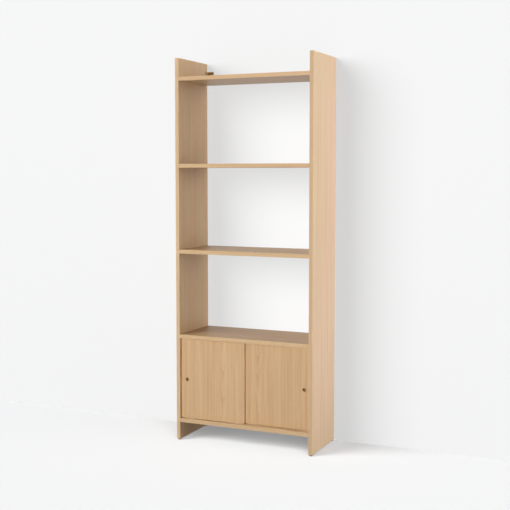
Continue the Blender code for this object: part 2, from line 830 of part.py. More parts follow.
def finger_pull(side, sign, carriage):
    """Turn a thin cup with a flat rim, flush with the door's face."""
    rim = PULL_DIAMETER / 2
    mouth = PULL_MOUTH_DIAMETER / 2
    cup = mouth + PULL_WALL
    soft = PULL_ROUNDING
    well = PULL_FLOOR_ROUNDING
    bottom = PULL_DEPTH + PULL_WALL
    profile = [(0, PULL_DEPTH)]
    profile += rounding((mouth - well, PULL_DEPTH - well), well, 90, 0)
    profile += rounding((mouth + soft, soft), soft, 180, 270)
    profile += rounding((rim - soft, soft), soft, -90, 0)
    profile.append((rim, PULL_RIM))
    profile.append((cup, PULL_RIM))
    profile += rounding((cup - well, bottom - well), well, 0, 90)
    profile.append((0, bottom))
    place = (sign * (DOOR_WIDTH / 2 - PULL_INSET), -DOOR_THICKNESS / 2, PULL_RISE)
    shape = turned(profile, (0, 1, 0), LARGE_ROUND)
    body = add_piece(side + "_door_pull", shape, place, carriage, smooth=True)
    antique_brass(body)


def roller_carrier(name, x, carriage):
    """Make a carrier: a flanged block with a wheel slot and an axle bore."""
    flange_half = CARRIER_LENGTH / 2 + CARRIER_FLANGE_END
    flange_side = CARRIER_THICKNESS / 2 + CARRIER_FLANGE_SIDE
    flange_top = -JOINT_GAP
    flange_bottom = flange_top - CARRIER_FLANGE
    bm = bmesh.new()
    low = (-flange_half, -flange_side, flange_bottom)
    high = (flange_half, flange_side, flange_top)
    add_box(bm, low, high)
    body = add_piece(name, bm, (x, 0, 0), carriage)
    white_nylon(body)

    block = bmesh.new()
    low = (-CARRIER_LENGTH / 2, -CARRIER_THICKNESS / 2, flange_top - CARRIER_FLANGE / 2)
    high = (CARRIER_LENGTH / 2, CARRIER_THICKNESS / 2, CARRIER_TOP)
    add_box(block, low, high)
    uprights = [edge for edge in block.edges if edge_runs_up(edge)]
    bevel_edges(block, uprights, CARRIER_CHAMFER, 1)
    join(body, "block", block)

    slot = bmesh.new()
    half_length = WHEEL_SLOT_LENGTH / 2
    half_width = WHEEL_SLOT_WIDTH / 2
    low = (-half_length, -half_width, flange_bottom - OVERCUT)
    high = (half_length, half_width, WHEEL_SLOT_TOP)
    add_box(slot, low, high)
    cut(body, "wheel_slot", slot)

    bore = bmesh.new()
    start = (0, -CARRIER_THICKNESS / 2 - OVERCUT, AXLE_HEIGHT)
    end = (0, CARRIER_THICKNESS / 2 + OVERCUT, AXLE_HEIGHT)
    add_rod(bore, start, end, AXLE_DIAMETER + 2 * JOINT_GAP, SMALL_ROUND)
    cut(body, "axle_bore", bore)


def edge_runs_up(edge):
    """Tell whether an edge is upright."""
    start, end = (vert.co for vert in edge.verts)
    sideways = max(abs(start.x - end.x), abs(start.y - end.y))
    return sideways < SAME_PLACE


def roller_wheel(name, x, carriage):
    """Turn a wheel with a hub, a thin web and a chamfered rim.

    The wheel's origin is on its axle.
    """
    bore = AXLE_DIAMETER / 2 + JOINT_GAP
    hub = WHEEL_HUB_DIAMETER / 2
    tread = WHEEL_DIAMETER / 2
    rim = tread - WHEEL_RIM
    soft = WHEEL_CHAMFER
    hub_end = WHEEL_HUB_WIDTH / 2
    web_end = WHEEL_WEB / 2
    rim_end = WHEEL_WIDTH / 2
    half = [
        (bore, hub_end),
        (hub, hub_end),
        (hub, web_end),
        (rim, web_end),
        (rim, rim_end),
        (tread - soft, rim_end),
        (tread, rim_end - soft),
    ]
    other_half = [(radius, -distance) for radius, distance in reversed(half)]
    shape = turned(half + other_half, (0, 1, 0), MEDIUM_ROUND, bored=True)
    body = add_piece(name, shape, (x, 0, AXLE_HEIGHT), carriage, smooth=True)
    white_nylon(body)


def axle_pin(name, x, carriage):
    """Make the pin that a wheel turns on, pressed into its carrier."""
    bm = bmesh.new()
    half = CARRIER_THICKNESS / 2
    add_rod(bm, (0, -half, 0), (0, half, 0), AXLE_DIAMETER, SMALL_ROUND)
    body = add_piece(name, bm, (x, 0, AXLE_HEIGHT), carriage, smooth=True)
    zinc_steel(body)


def top_guide(name, x, carriage):
    """Turn a guide: a body in the door's edge, a flange and a domed nose."""
    body_radius = GUIDE_BODY_DIAMETER / 2
    nose = GUIDE_NOSE_DIAMETER / 2
    flange = GUIDE_FLANGE_DIAMETER / 2
    tip = DOOR_TOP_CLEARANCE + GUIDE_ENGAGEMENT
    soft = GUIDE_ROUNDING
    profile = [
        (0, -GUIDE_BODY_LENGTH),
        (body_radius - soft, -GUIDE_BODY_LENGTH),
        (body_radius, -GUIDE_BODY_LENGTH + soft),
        (body_radius, JOINT_GAP),
        (flange, JOINT_GAP),
        (flange, JOINT_GAP + GUIDE_FLANGE),
        (nose, JOINT_GAP + GUIDE_FLANGE),
    ]
    profile += rounding((nose - soft, tip - soft), soft, 0, 90)
    profile.append((0, tip))
    shape = turned(profile, (0, 0, 1), SMALL_ROUND)
    body = add_piece(name, shape, (x, 0, DOOR_HEIGHT), carriage, smooth=True)
    white_nylon(body)


def sliding_door(side, sign, middle_y):
    """Build a whole door: panel, pull, two carriers with wheels, two guides."""
    carriage = door_frame(side, sign, middle_y)
    door_panel(side, sign, carriage)
    finger_pull(side, sign, carriage)
    for end, x in carrier_places().items():
        roller_carrier(side + "_door_carrier_" + end, x, carriage)
        roller_wheel(side + "_door_wheel_" + end, x, carriage)
        axle_pin(side + "_door_axle_" + end, x, carriage)
    for end, x in guide_places().items():
        top_guide(side + "_door_guide_" + end, x, carriage)


def build():
    """Build the whole piece of furniture in an empty scene."""
    for old in list(bpy.data.objects):
        bpy.data.objects.remove(old)

    side_panel("left", -1)
    side_panel("right", 1)
    for name in ("top_shelf", "upper_shelf", "middle_shelf"):
        shelf_board(name)
    cabinet_top()
    cabinet_base()
    cabinet_back()
    glides()
    cam_fittings()
    for side, sign in (("left", -1), ("right", 1)):
        wall_bracket(side, sign)
        bracket_screws(side, sign)

    door_track(
        "lower_door_track",
        CABINET_FLOOR,
        -1,
        LOWER_CHANNEL_WIDTH,
        LOWER_CHANNEL_DEPTH,
    )
    door_track(
        "upper_door_track",
        CABINET_CEILING,
        1,
        UPPER_CHANNEL_WIDTH,
        UPPER_CHANNEL_DEPTH,
    )
    sliding_door("left", -1, FRONT_DOOR_Y)
    sliding_door("right", 1, REAR_DOOR_Y)


build()
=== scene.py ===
# %% [markdown]
# # A sliding door cabinet, dressed for its picture
#
# The cabinet arrives as a finished set of solids: two tall side panels, five
# boards, two doors on their tracks and a few dozen small fittings. This lesson
# leaves every board where it is. It gives each one its finish, makes the
# smallest fittings again with finer surfaces, and sets up the room, the lamps
# and the camera. The box round the whole cabinet is kept, to show at the end
# that nothing has grown.

# %% Load the frame
import json
import math

import bpy
import numpy as np
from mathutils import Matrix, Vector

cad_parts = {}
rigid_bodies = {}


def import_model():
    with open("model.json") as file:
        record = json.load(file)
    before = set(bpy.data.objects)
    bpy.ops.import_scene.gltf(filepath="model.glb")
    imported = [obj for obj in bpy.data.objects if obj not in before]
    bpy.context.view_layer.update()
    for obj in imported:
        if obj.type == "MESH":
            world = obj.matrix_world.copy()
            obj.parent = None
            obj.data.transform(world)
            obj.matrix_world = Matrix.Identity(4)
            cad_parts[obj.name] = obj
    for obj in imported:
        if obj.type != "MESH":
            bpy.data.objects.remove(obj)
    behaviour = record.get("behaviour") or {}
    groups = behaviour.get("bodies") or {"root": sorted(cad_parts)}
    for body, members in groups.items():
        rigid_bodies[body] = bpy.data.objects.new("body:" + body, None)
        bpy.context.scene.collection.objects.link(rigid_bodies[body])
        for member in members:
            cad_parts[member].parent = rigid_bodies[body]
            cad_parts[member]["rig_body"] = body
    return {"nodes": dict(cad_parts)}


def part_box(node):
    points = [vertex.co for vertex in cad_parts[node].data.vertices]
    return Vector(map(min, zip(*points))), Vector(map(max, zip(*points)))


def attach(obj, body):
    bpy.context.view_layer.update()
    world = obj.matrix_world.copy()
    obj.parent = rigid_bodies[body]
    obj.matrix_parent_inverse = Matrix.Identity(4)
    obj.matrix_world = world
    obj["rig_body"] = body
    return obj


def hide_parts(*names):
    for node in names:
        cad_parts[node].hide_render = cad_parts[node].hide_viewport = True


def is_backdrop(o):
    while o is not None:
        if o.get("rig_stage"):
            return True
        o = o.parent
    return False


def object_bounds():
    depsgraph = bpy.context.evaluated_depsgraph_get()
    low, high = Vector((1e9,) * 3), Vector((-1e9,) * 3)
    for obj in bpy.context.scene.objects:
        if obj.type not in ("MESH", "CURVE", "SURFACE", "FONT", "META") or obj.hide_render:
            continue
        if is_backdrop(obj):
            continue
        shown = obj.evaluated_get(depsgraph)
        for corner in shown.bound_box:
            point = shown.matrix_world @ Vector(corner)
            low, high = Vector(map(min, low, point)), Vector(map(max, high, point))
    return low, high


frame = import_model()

MM = 0.001
SIDES = ("left", "right")
ROWS = ("front", "back")

box_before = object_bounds()
low, high = box_before
span = [round((b - a) / MM, 1) for a, b in zip(low, high)]
print("Loaded", len(frame["nodes"]), "nodes, box in millimetres:", span)

# %% [markdown]
# ## Measures of a solid
#
# New pieces take their places from the solids, so that nothing has to be
# fitted by eye. Three measures serve for all of them.

# %% Middle, size and ends
def middle_of(node):
    """Return the middle of a node's box, in metres."""
    return [(a + b) / 2 for a, b in zip(*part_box(node))]


def size_of(node):
    """Return a node's width, depth and height."""
    return [b - a for a, b in zip(*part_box(node))]


def ends_of(node, sign):
    """Return a node's inner and outer x; sign is 1 on the right, -1 on the left."""
    lowest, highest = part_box(node)
    return (lowest.x, highest.x)[::sign]


board_thickness = size_of("top_shelf")[2]
print("The top shelf is", round(board_thickness / MM, 1), "mm thick")

# %% [markdown]
# ## The camera
#
# The picture was taken from the right of the cabinet, a little below shoulder
# height and about five metres away. A long lens keeps the uprights almost
# parallel, so the camera only needs a slight tilt down and hardly any shift.
# Yaw, tilt and place were found from the corners of the side panels and the
# ends of the shelves, which all lie at known heights.

# %% Place the camera
CAMERA_PLACE = (2.0254, -4.5117, 1.3930)
CAMERA_YAW = 24.201
CAMERA_TILT = 4.254
CAMERA_LENS = 67.782
CAMERA_FILM = 36.0
CAMERA_SHIFT = -0.020

lens = bpy.data.cameras.new("camera")
lens.lens = CAMERA_LENS
lens.sensor_width = CAMERA_FILM
lens.shift_y = CAMERA_SHIFT
camera = bpy.data.objects.new("camera", lens)
bpy.context.scene.collection.objects.link(camera)
camera.location = CAMERA_PLACE
camera.rotation_euler = (math.radians(90 - CAMERA_TILT), 0, math.radians(CAMERA_YAW))
bpy.context.scene.camera = camera
bpy.context.scene.view_settings.view_transform = "Standard"
print("Camera at", CAMERA_PLACE, "with a lens of", CAMERA_LENS, "mm")

# %% [markdown]
# ## Arithmetic for finishes
#
# A finish is a net of nodes, which soon becomes hard to read as a list of
# links. A small class that wraps a socket lets a mask be written as a sum, so
# `1 - mask` adds the Math node by itself. Colours never go through those
# operators, because a Math node would turn them grey: they are blended.

# %% Colours
WHITE = (1.0, 1.0, 1.0, 1.0)
BLACK = (0.0, 0.0, 0.0, 1.0)


def linear(red, green, blue):
    """Turn 8-bit sRGB values into the linear colour that a shader takes.

    Each channel c/255 is raised to 2.4 after (c + 0.055) / 1.055.
    """
    share = np.array([red, green, blue]) / 255
    curve = ((share + 0.055) / 1.055) ** 2.4
    return (*[float(value) for value in curve], 1.0)


print("A written grey of 128 is", round(linear(128, 128, 128)[0], 3), "in linear light")


# %% Wires
OPERATIONS = {
    "__add__": "ADD", "__sub__": "SUBTRACT", "__mul__": "MULTIPLY",
    "__pow__": "POWER", "__abs__": "ABSOLUTE", "__gt__": "GREATER_THAN",
    "root": "SQRT", "fraction": "FRACT", "least": "MINIMUM", "most": "MAXIMUM",
}
SWAPPED = {"__radd__": "ADD", "__rsub__": "SUBTRACT", "__rmul__": "MULTIPLY"}


class Wire:
    """A value in a finish, to which arithmetic adds Math nodes."""

    def __init__(self, finish, socket):
        self.finish = finish
        self.socket = socket


def operator(operation, swapped):
    """Return a method that adds one Math node, its wire first or last."""
    def method(wire, *others):
        values = (*others, wire) if swapped else (wire, *others)
        return wire.finish.node("ShaderNodeMath", {"operation": operation}, values)
    return method


for table, swapped in ((OPERATIONS, False), (SWAPPED, True)):
    for name, operation in table.items():
        setattr(Wire, name, operator(operation, swapped))
print("A wire has", len(OPERATIONS) + len(SWAPPED), "operations")

# %% [markdown]
# A finish holds a material and its net, and adds any node by one method. The
# few nodes that come back in every finish get a short name each. A colour Mix
# node has its factor at input 0, its colours at 6 and 7, its result at output 2.

# %% Finishes
MIX_SHARE, MIX_FIRST, MIX_SECOND, MIX_OUTPUT = 0, 6, 7, 2


class Finish:
    """A material that is put together round its Principled shader."""

    def __init__(self, name):
        self.material = bpy.data.materials.new(name)
        self.material.use_nodes = True
        self.tree = self.material.node_tree
        self.shader = self.tree.nodes["Principled BSDF"]

    def feed(self, socket, value):
        if isinstance(value, Wire):
            self.tree.links.new(value.socket, socket)
        else:
            socket.default_value = value

    def node(self, kind, settings=None, inputs=(), output=0):
        """Add any node: its settings first, then its sockets."""
        made = self.tree.nodes.new(kind)
        for key, value in (settings or {}).items():
            setattr(made, key, value)
        pairs = inputs.items() if isinstance(inputs, dict) else enumerate(inputs)
        for key, value in pairs:
            self.feed(made.inputs[key], value)
        return Wire(self, made.outputs[output])

    def split(self, vector):
        parts = self.node("ShaderNodeSeparateXYZ", None, [vector])
        return [Wire(self, output) for output in parts.socket.node.outputs]

    def place(self):
        """The point on the piece, in metres from the cabinet's origin."""
        return self.node("ShaderNodeTexCoord", None, (), "Object")

    def facing(self):
        return self.node("ShaderNodeTexCoord", None, (), "Normal")

    def joined(self, x, y, z):
        return self.node("ShaderNodeCombineXYZ", None, [x, y, z])

    def noise(self, vector, by, detail=2.0, rough=0.5):
        """Noise from 0 to 1 whose grains are 1/by metres long on each axis."""
        grains = self.node("ShaderNodeVectorMath", {"operation": "MULTIPLY"}, [vector, by])
        sockets = {"Vector": grains, "Scale": 1.0, "Detail": detail, "Roughness": rough}
        return self.node("ShaderNodeTexNoise", None, sockets)

    def cloud(self, by, detail=2.0, rough=0.5):
        """Noise over the piece that is alike in all directions."""
        return self.noise(self.place(), (by, by, by), detail, rough)

    def step(self, value, start, end):
        """Rise smoothly from 0 at start to 1 at end."""
        settings = {"interpolation_type": "SMOOTHSTEP"}
        sockets = {"Value": value, "From Min": start, "From Max": end}
        return self.node("ShaderNodeMapRange", settings, sockets)

    def blend(self, share, first, second, way="MIX"):
        """Mix two colours; share 0 gives the first one."""
        settings = {"data_type": "RGBA", "blend_type": way}
        sockets = {MIX_SHARE: share, MIX_FIRST: first, MIX_SECOND: second}
        return self.node("ShaderNodeMix", settings, sockets, MIX_OUTPUT)

    def bump(self, height, strength, distance):
        """Raise the surface by height times distance, in metres."""
        sockets = {"Strength": strength, "Distance": distance, "Height": height}
        self.set("Normal", self.node("ShaderNodeBump", None, sockets))

    def set(self, socket, value):
        self.feed(self.shader.inputs[socket], value)


print("Colours of a Mix node:", MIX_FIRST, MIX_SECOND, "and output", MIX_OUTPUT)

# %% [markdown]
# ## The room
#
# A bookcase of this kind stands against a wall, and half of what shows in the
# open bays is that wall with the side panel's soft shadow on it. A box of
# walls would do, but then the cabinet couldn't be seen from behind. So the
# wall is a single sheet that only the camera sees, and it lets the camera
# through from its back. It casts no shadow and throws no light on the boards.
#
# A studio's background is paler than its lamps leave it, because a retoucher
# lifts it afterwards. So each paint here takes the lamps' shadows and also
# glows a little for the eye alone, on the wall more so inside the open bays.
# A pale floor throws light up under the boards, and a studio would lay a dark
# cloth just outside the view. Here the floor itself is darker near the
# cabinet, but only for light that bounces off it.

# %% Sheets for the room
REACH = 30.0
WALL_HEIGHT = 12.0
WALL_GAP = 4.0 * MM
FLOOR_PAINT = (0.436, 0.436, 0.436, 1.0)
FLOOR_GLOW = (0.204, 0.211, 0.219, 1.0)
WALL_PAINT = (0.120, 0.120, 0.120, 1.0)
WALL_GLOW = (0.604, 0.607, 0.609, 1.0)
BAY_GLOW = (0.662, 0.665, 0.667, 1.0)
PAINT_ROUGHNESS = 0.9
EYE_RAYS = ("Camera", "Glossy", "Transmission")


def sheet(name, start, end, top=0.0):
    """Lay a sheet between two corners of the floor, its far edge at the top.

    A sheet without depth stands upright.
    """
    (x, y), (far_x, far_y) = start, end
    corners = [(x, y, 0), (far_x, y, 0), (far_x, far_y, top), (x, far_y, top)]
    mesh = bpy.data.meshes.new(name)
    mesh.from_pydata(corners, [], [(0, 1, 2, 3)])
    made = bpy.data.objects.new(name, mesh)
    bpy.context.scene.collection.objects.link(made)
    made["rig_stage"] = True
    return made


def hidden_from(made, rays):
    """Let an object stay out of some kinds of ray."""
    for ray in rays:
        setattr(made, "visible_" + ray, False)


def eye_rays(finish):
    """Return 1 for rays that come from the camera, a mirror or glass."""
    paths = finish.node("ShaderNodeLightPath").socket.node.outputs
    rays = [Wire(finish, paths["Is " + kind + " Ray"]) for kind in EYE_RAYS]
    return rays[0].most(rays[1]).most(rays[2])


def matt(paint, colour, glow):
    """Make a paint matt and even, with a glow that only the eye sees."""
    paint.set("Base Color", colour)
    paint.set("Roughness", PAINT_ROUGHNESS)
    paint.set("Specular IOR Level", 0.0)
    paint.set("Emission Color", paint.blend(eye_rays(paint), BLACK, glow))
    paint.set("Emission Strength", 1.0)
    return paint.material


floor = sheet("floor", (-REACH, -REACH), (REACH, REACH))
wall_y = high[1] + WALL_GAP
wall = sheet("wall", (-REACH, wall_y), (REACH, wall_y), WALL_HEIGHT)
hidden_from(wall, ("diffuse", "glossy", "transmission", "shadow"))
print("Floor reaches", REACH, "m, wall stands at y =", round(wall_y, 4))

# %% Paint for the floor and the wall
MAT_SPAN = (0.3, 1.5)
MAT_DARKNESS = 0.64


def matted(paint):
    """Return the floor's colour, darker near the cabinet for bounced light.

    It fades over MAT_SPAN, in metres from the middle. The eye sees no mat.
    """
    east, north = paint.split(paint.place())[:2]
    distance = (east * east + north * north).root()
    near = 1 - paint.step(distance, *MAT_SPAN)
    unseen = 1 - eye_rays(paint)
    return paint.blend(near * unseen * MAT_DARKNESS, FLOOR_PAINT, BLACK)


def in_the_bays(paint):
    """Return 1 on the part of the wall that the open bays frame.

    Its borders lie hidden behind the side panels, the top shelf and the
    cabinet top.
    """
    east, north, height = paint.split(paint.place())
    left, right = [middle_of(side + "_side_panel")[0] for side in SIDES]
    bottom, top = [middle_of(board)[2] for board in ("cabinet_top", "top_shelf")]
    across = (east > left) * (1 - (east > right))
    return across * (height > bottom) * (1 - (height > top))


floor_paint = Finish("floor_paint")
floor.data.materials.append(matt(floor_paint, matted(floor_paint), FLOOR_GLOW))

wall_paint = Finish("wall_paint")
wall_glow = wall_paint.blend(in_the_bays(wall_paint), WALL_GLOW, BAY_GLOW)
wall.data.materials.append(matt(wall_paint, WALL_PAINT, wall_glow))
back_side = wall_paint.node("ShaderNodeNewGeometry", None, (), "Backfacing")
clear = wall_paint.node("ShaderNodeBsdfTransparent")
painted = Wire(wall_paint, wall_paint.shader.outputs[0])
one_sided = wall_paint.node("ShaderNodeMixShader", None, [back_side, painted, clear])
wall_paint.feed(wall_paint.tree.nodes["Material Output"].inputs["Surface"], one_sided)
print("Nodes in the wall's paint:", len(wall_paint.tree.nodes))

# %% [markdown]
# ## The light
#
# The shadows say where the light comes from. The cabinet's shadow falls to
# its right on the wall, so the main light is a large one at the upper left,
# in front. The right side panel is bright too, so a second large light stands
# on that side, and a low one behind grazes the inner faces. Sun lamps with a
# wide angle give the same soft edges as large lamps do, and they light the far
# ends of the room evenly.
#
# A photographer would screen each part's lamps off from the rest. Light
# linking does that: the boards, the doors, the left side panel, the floor and
# the wall have lamps of their own, with every board's shadow in them. Lamps on
# the left and behind stay out of reflections, where they would lay a grey
# sheen on the shelves. A flag, a sheet that no one sees, stands before the
# doors and stops only the left side panel's lamps, so that the narrow gap
# beside the left door stays dark.

# %% The world
BACKGROUND = 0.905
BACK_GLOW = 0.160
BACK_SPAN = (-0.1, 0.3)


class Surround(Finish):
    """The world's own net of nodes, built with the same methods."""

    def __init__(self, made):
        made.use_nodes = True
        self.tree = made.node_tree
        self.shader = self.tree.nodes["Background"]


world = bpy.data.worlds.new("studio")
bpy.context.scene.world = world
studio = Surround(world)
toward = studio.split(studio.node("ShaderNodeTexCoord", None, (), "Generated"))
glow = studio.step(toward[1], *BACK_SPAN) * BACK_GLOW
seen = eye_rays(studio)
studio.set("Color", WHITE)
studio.set("Strength", seen * BACKGROUND + (1 - seen) * glow)
print("The world shows as", BACKGROUND, "and gives at most", BACK_GLOW)

# %% Lamps on the cabinet
# Each lamp has its azimuth, elevation and width in degrees, and its level.
BOARD_LAMPS = {
    "left_light": (-45.0, 20.0, 40.0, 0.890),
    "front_light": (-22.0, 26.0, 24.0, 0.200),
    "right_light": (90.0, 12.0, 40.0, 1.135),
    "back_light": (180.0, 3.0, 16.0, 0.550),
}
DOOR_LAMPS = {"door_light": (14.0, 10.0, 20.0, 0.868)}
SIDE_LAMPS = {
    "side_front": (72.0, 3.0, 60.0, 0.400),
    "side_back": (108.0, 3.0, 60.0, 0.620),
}
# Only lamps between these azimuths show in reflections.
SHEEN_SPAN = (0.0, 120.0)


def sun(name, azimuth, elevation, softness, level):
    """Add a sun lamp that shines from a compass angle and a height.

    Azimuth 0 is straight in front and grows to the right. A level of 1 makes
    a white sheet that faces the lamp fully white.
    """
    lamp = bpy.data.lights.new(name, "SUN")
    lamp.energy = level * math.pi
    lamp.angle = math.radians(softness)
    made = bpy.data.objects.new(name, lamp)
    bpy.context.scene.collection.objects.link(made)
    made.rotation_euler = (math.radians(90 - elevation), 0, math.radians(azimuth))
    made.visible_glossy = SHEEN_SPAN[0] < azimuth < SHEEN_SPAN[1]
    return made


def group_of(name, things, state):
    """Put things in a collection for light linking, all in one state."""
    group = bpy.data.collections.new(name + "_links")
    for index, thing in enumerate(things):
        group.objects.link(thing)
        group.collection_objects[index].light_linking.link_state = state
    return group


def add_lamps(table, things, state="INCLUDE"):
    """Add a table's lamps, which light only some things or all but those."""
    for name, values in table.items():
        lamps[name] = sun(name, *values)
        lamps[name].light_linking.receiver_collection = group_of(name, things, state)


lamps = {}
doors = [bpy.data.objects[side + "_door_panel"] for side in SIDES]
left_side = [bpy.data.objects["left_side_panel"]]
spared = {"left_light": doors, "front_light": doors, "right_light": left_side}
for name, values in BOARD_LAMPS.items():
    add_lamps({name: values}, [floor, wall] + spared.get(name, []), "EXCLUDE")
add_lamps(DOOR_LAMPS, doors)
add_lamps(SIDE_LAMPS, left_side)
print("Lamps on the cabinet:", ", ".join(lamps))

# %% The flag
FLAG_GAP = 0.5 * MM

panel_low, panel_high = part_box("left_side_panel")
flag_y = panel_low.y - FLAG_GAP
flag_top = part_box("cabinet_top")[0].z
flag = sheet("flag", (panel_high.x, flag_y), (-panel_high.x, flag_y), flag_top)
hidden_from(flag, ("camera", "diffuse", "glossy", "transmission"))
flag.data.materials.append(matt(Finish("flag_paint"), FLOOR_PAINT, BLACK))
print("The flag is", round(flag_top / MM), "mm high")

# %% Lamps on the room
FLOOR_LAMPS = {
    "floor_left": (-45.0, 24.0, 40.0, 2.030),
    "floor_front": (30.0, 25.0, 50.0, 1.500),
    "floor_right": (90.0, 12.0, 40.0, 0.400),
}
WALL_LAMPS = {"wall_light": (-33.0, 14.0, 44.0, 3.080)}

add_lamps(FLOOR_LAMPS, [floor])
add_lamps(WALL_LAMPS, [wall])
flag_passed = group_of("flag", [flag], "EXCLUDE")
for name, lamp in lamps.items():
    if name not in SIDE_LAMPS:
        lamp.light_linking.blocker_collection = flag_passed
print("The flag stops", len(SIDE_LAMPS), "of", len(lamps), "lamps")

# %% [markdown]
# ## Oak veneer
#
# The boards are covered with thin sheets of pale oak. Flat-cut oak shows nested
# arches where the knife passed near the middle of the log, and straight lines
# beside them. Both come from one idea: the rings are cylinders round the
# log's middle, and the sheet is a slightly sloping cut through them. So a
# ring's number follows from the distance to the middle, and that distance is
# worked out from the place across the sheet and the place along it.
#
# Over the rings lie three finer things: broad strips of warmer and cooler
# tone, fibres, and the open pores that follow each ring's early wood. An image
# would repeat and blur; this net stays sharp and gives each face its own cut.

# %% Grain directions
# For each way that a face looks: the axis across the grain, then along it.
GRAIN_UP = {"side": "yz", "front": "xz", "flat": "xy"}
GRAIN_UP_DOOR = {"side": "yz", "front": "xz", "flat": "yx"}
GRAIN_ALONG = {"side": "zy", "front": "zx", "flat": "yx"}
CORNER_LIMIT = 0.6
SIDE_LAYER = 3.7
FLAT_LAYER = 7.9
OUTWARD_LAYER = 1.3


def veneer_axes(oak, grain, seed):
    """Return the place across and along the grain, and a third coordinate.

    A face that looks along X is a side, along Y a front, and along Z flat.
    The third coordinate is a constant for each of a board's six faces, so
    that no two of them show the same cut.
    """
    point = dict(zip("xyz", oak.split(oak.place())))
    normal = oak.split(oak.facing())
    flat = abs(normal[2]) > CORNER_LIMIT
    side = (abs(normal[0]) > CORNER_LIMIT) * (1 - flat)
    masks = {"side": side, "front": 1 - flat - side, "flat": flat}
    across = sum(masks[key] * point[grain[key][0]] for key in grain)
    along = sum(masks[key] * point[grain[key][1]] for key in grain)
    outward = (normal[0] + normal[1] + normal[2]) > 0.0
    masks["inner"] = side * (1 - outward)
    layer = seed + side * SIDE_LAYER + flat * FLAT_LAYER + outward * OUTWARD_LAYER
    return point, masks, across, along, layer


def edge_distance(point, node):
    """Distance from a point on a board's face to the nearest arris.

    On a face one of the three distances to the board's box is nearly nothing,
    so the middle one of the three is the distance to the nearest edge.
    """
    gaps = []
    for axis, lowest, highest in zip("xyz", *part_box(node)):
        gaps.append((point[axis] - lowest).least(highest - point[axis]))
    smaller = gaps[0].least(gaps[1])
    larger = gaps[0].most(gaps[1])
    return smaller.most(larger.least(gaps[2]))


print("Grain runs", GRAIN_UP, "on the panels")

# %% Colours and looks of the oak
OAK_PALE = linear(205, 173, 134)
OAK_DEEP = linear(172, 137, 97)
OAK_PORE = linear(128, 94, 60)
OAK_WORN = linear(222, 194, 160)
# The next four are tints, which multiply the oak. The last two also lift blue,
# which greys the right side panel as a painted sheen.
OAK_PINK = (1.06, 0.960, 1.030, 1.0)
OAK_GOLD = (0.96, 1.040, 0.920, 1.0)
OAK_ROSE_AND_SHEEN = (1.045, 0.980, 1.310, 1.0)
OAK_STRAW_AND_SHEEN = (0.965, 1.032, 1.160, 1.0)
# "tint" is the tints' strength, and "inner_tint" the share of it that inner
# faces keep. "tone" deepens the shade of all faces. The flat and front tones are
# painted shade on flat and front faces, for how the light falls there, and
# painted light where they are below zero. The last two make fronts paler with
# the pale oak, and blend pore brown into sides as painted shade.
COMMON_LOOK = {
    "tints": (OAK_PINK, OAK_GOLD),
    "tint": 0.5,
    "tint_span": (0.36, 0.64),
    "tint_layer": 1.7,
    "inner_tint": 0.35,
    "tone": 0.0,
    "painted_flat_shade": 0.26,
    "painted_front_shade": 0.05,
    "front_pale": 0.20,
    "painted_side_shade": 0.0,
}
# The base's flat faces are painted paler: painted light on the strip of its top in front
# of the doors.
BASE_LOOK = {"painted_flat_shade": -0.50}
# The left panel's front faces are painted paler, as painted light; the right panel's, in
# its look below, deeper, as painted shade.
LEFT_PANEL_LOOK = {"tint": 0.6, "painted_front_shade": -0.05}
# The right panel's rose and straw tints lift blue, a painted sheen that greys its face.
RIGHT_PANEL_LOOK = {
    "tints": (OAK_ROSE_AND_SHEEN, OAK_STRAW_AND_SHEEN),
    "tint": 1.0,
    "tint_span": (0.28, 0.50),
    "tint_layer": 1.9,
    "painted_front_shade": 0.24,
}
# The doors' side faces take pore brown as painted shade in the gap between the doors.
DOOR_LOOK = {"tint": 0.15, "tone": 0.06, "front_pale": 0.0, "painted_side_shade": 0.75}
print("Palest and deepest oak:", OAK_PALE[:3], OAK_DEEP[:3])

# %% The rings and the grains
TAPER = 0.034
RING_SPACING = 4.8 * MM
KNIFE_DEPTH = 45.0 * MM
WANDER_REACH = 30.0 * MM
RIPPLE_REACH = 4.0 * MM
RING_WANDER = 3.0
EARLY_FALL = 2.5
EARLY_MEAN = 0.28
# Grains to the metre across the sheet, along it and between layers, then the
# number of octaves and, where it isn't a half, their roughness.
GRAINS = {
    "wander": ((4.0, 1.6, 1.0), 2.0),
    "ripple": ((60.0, 6.0, 1.0), 2.0),
    "strips": ((22.0, 0.4, 1.0), 1.0),
    "streaks": ((70.0, 1.1, 1.0), 3.0, 0.75),
    "fibres": ((900.0, 14.0, 1.0), 3.0, 0.6),
    "dashes": ((2200.0, 60.0, 1.0), 1.0),
    "rub": ((40.0, 40.0, 1.0), 3.0),
}
TINT_GRAIN = (34.0, 0.4)
DASH_SPAN = (0.56, 0.68)
LATE_PORES = 0.25


def grown(oak, sheet_place, across, along, heart):
    """Return what grew in the wood, part by part.

    The log is a slim cone and the knife passed at a depth from its middle,
    above the line across = heart. The ring number is sqrt(out^2 + depth^2)
    - TAPER * along, over the ring spacing, with a slow wander added. A ring
    starts with early wood, (1 - fraction)^EARLY_FALL, where the pores lie.
    """
    parts = {key: oak.noise(sheet_place, *grain) for key, grain in GRAINS.items()}
    for key in ("wander", "ripple", "strips", "streaks", "fibres"):
        parts[key] = parts[key] - 0.5
    out = across - heart + parts["wander"] * WANDER_REACH
    radius = (out * out + KNIFE_DEPTH**2).root() - along * TAPER
    radius = radius + parts["ripple"] * RIPPLE_REACH
    ring = (radius * (1 / RING_SPACING) + parts["wander"] * RING_WANDER).fraction()
    early = (1 - ring) ** EARLY_FALL
    dashes = oak.step(parts["dashes"], *DASH_SPAN)
    parts["pores"] = dashes * (LATE_PORES + early * (1 - LATE_PORES))
    parts["early"] = early - EARLY_MEAN
    return parts


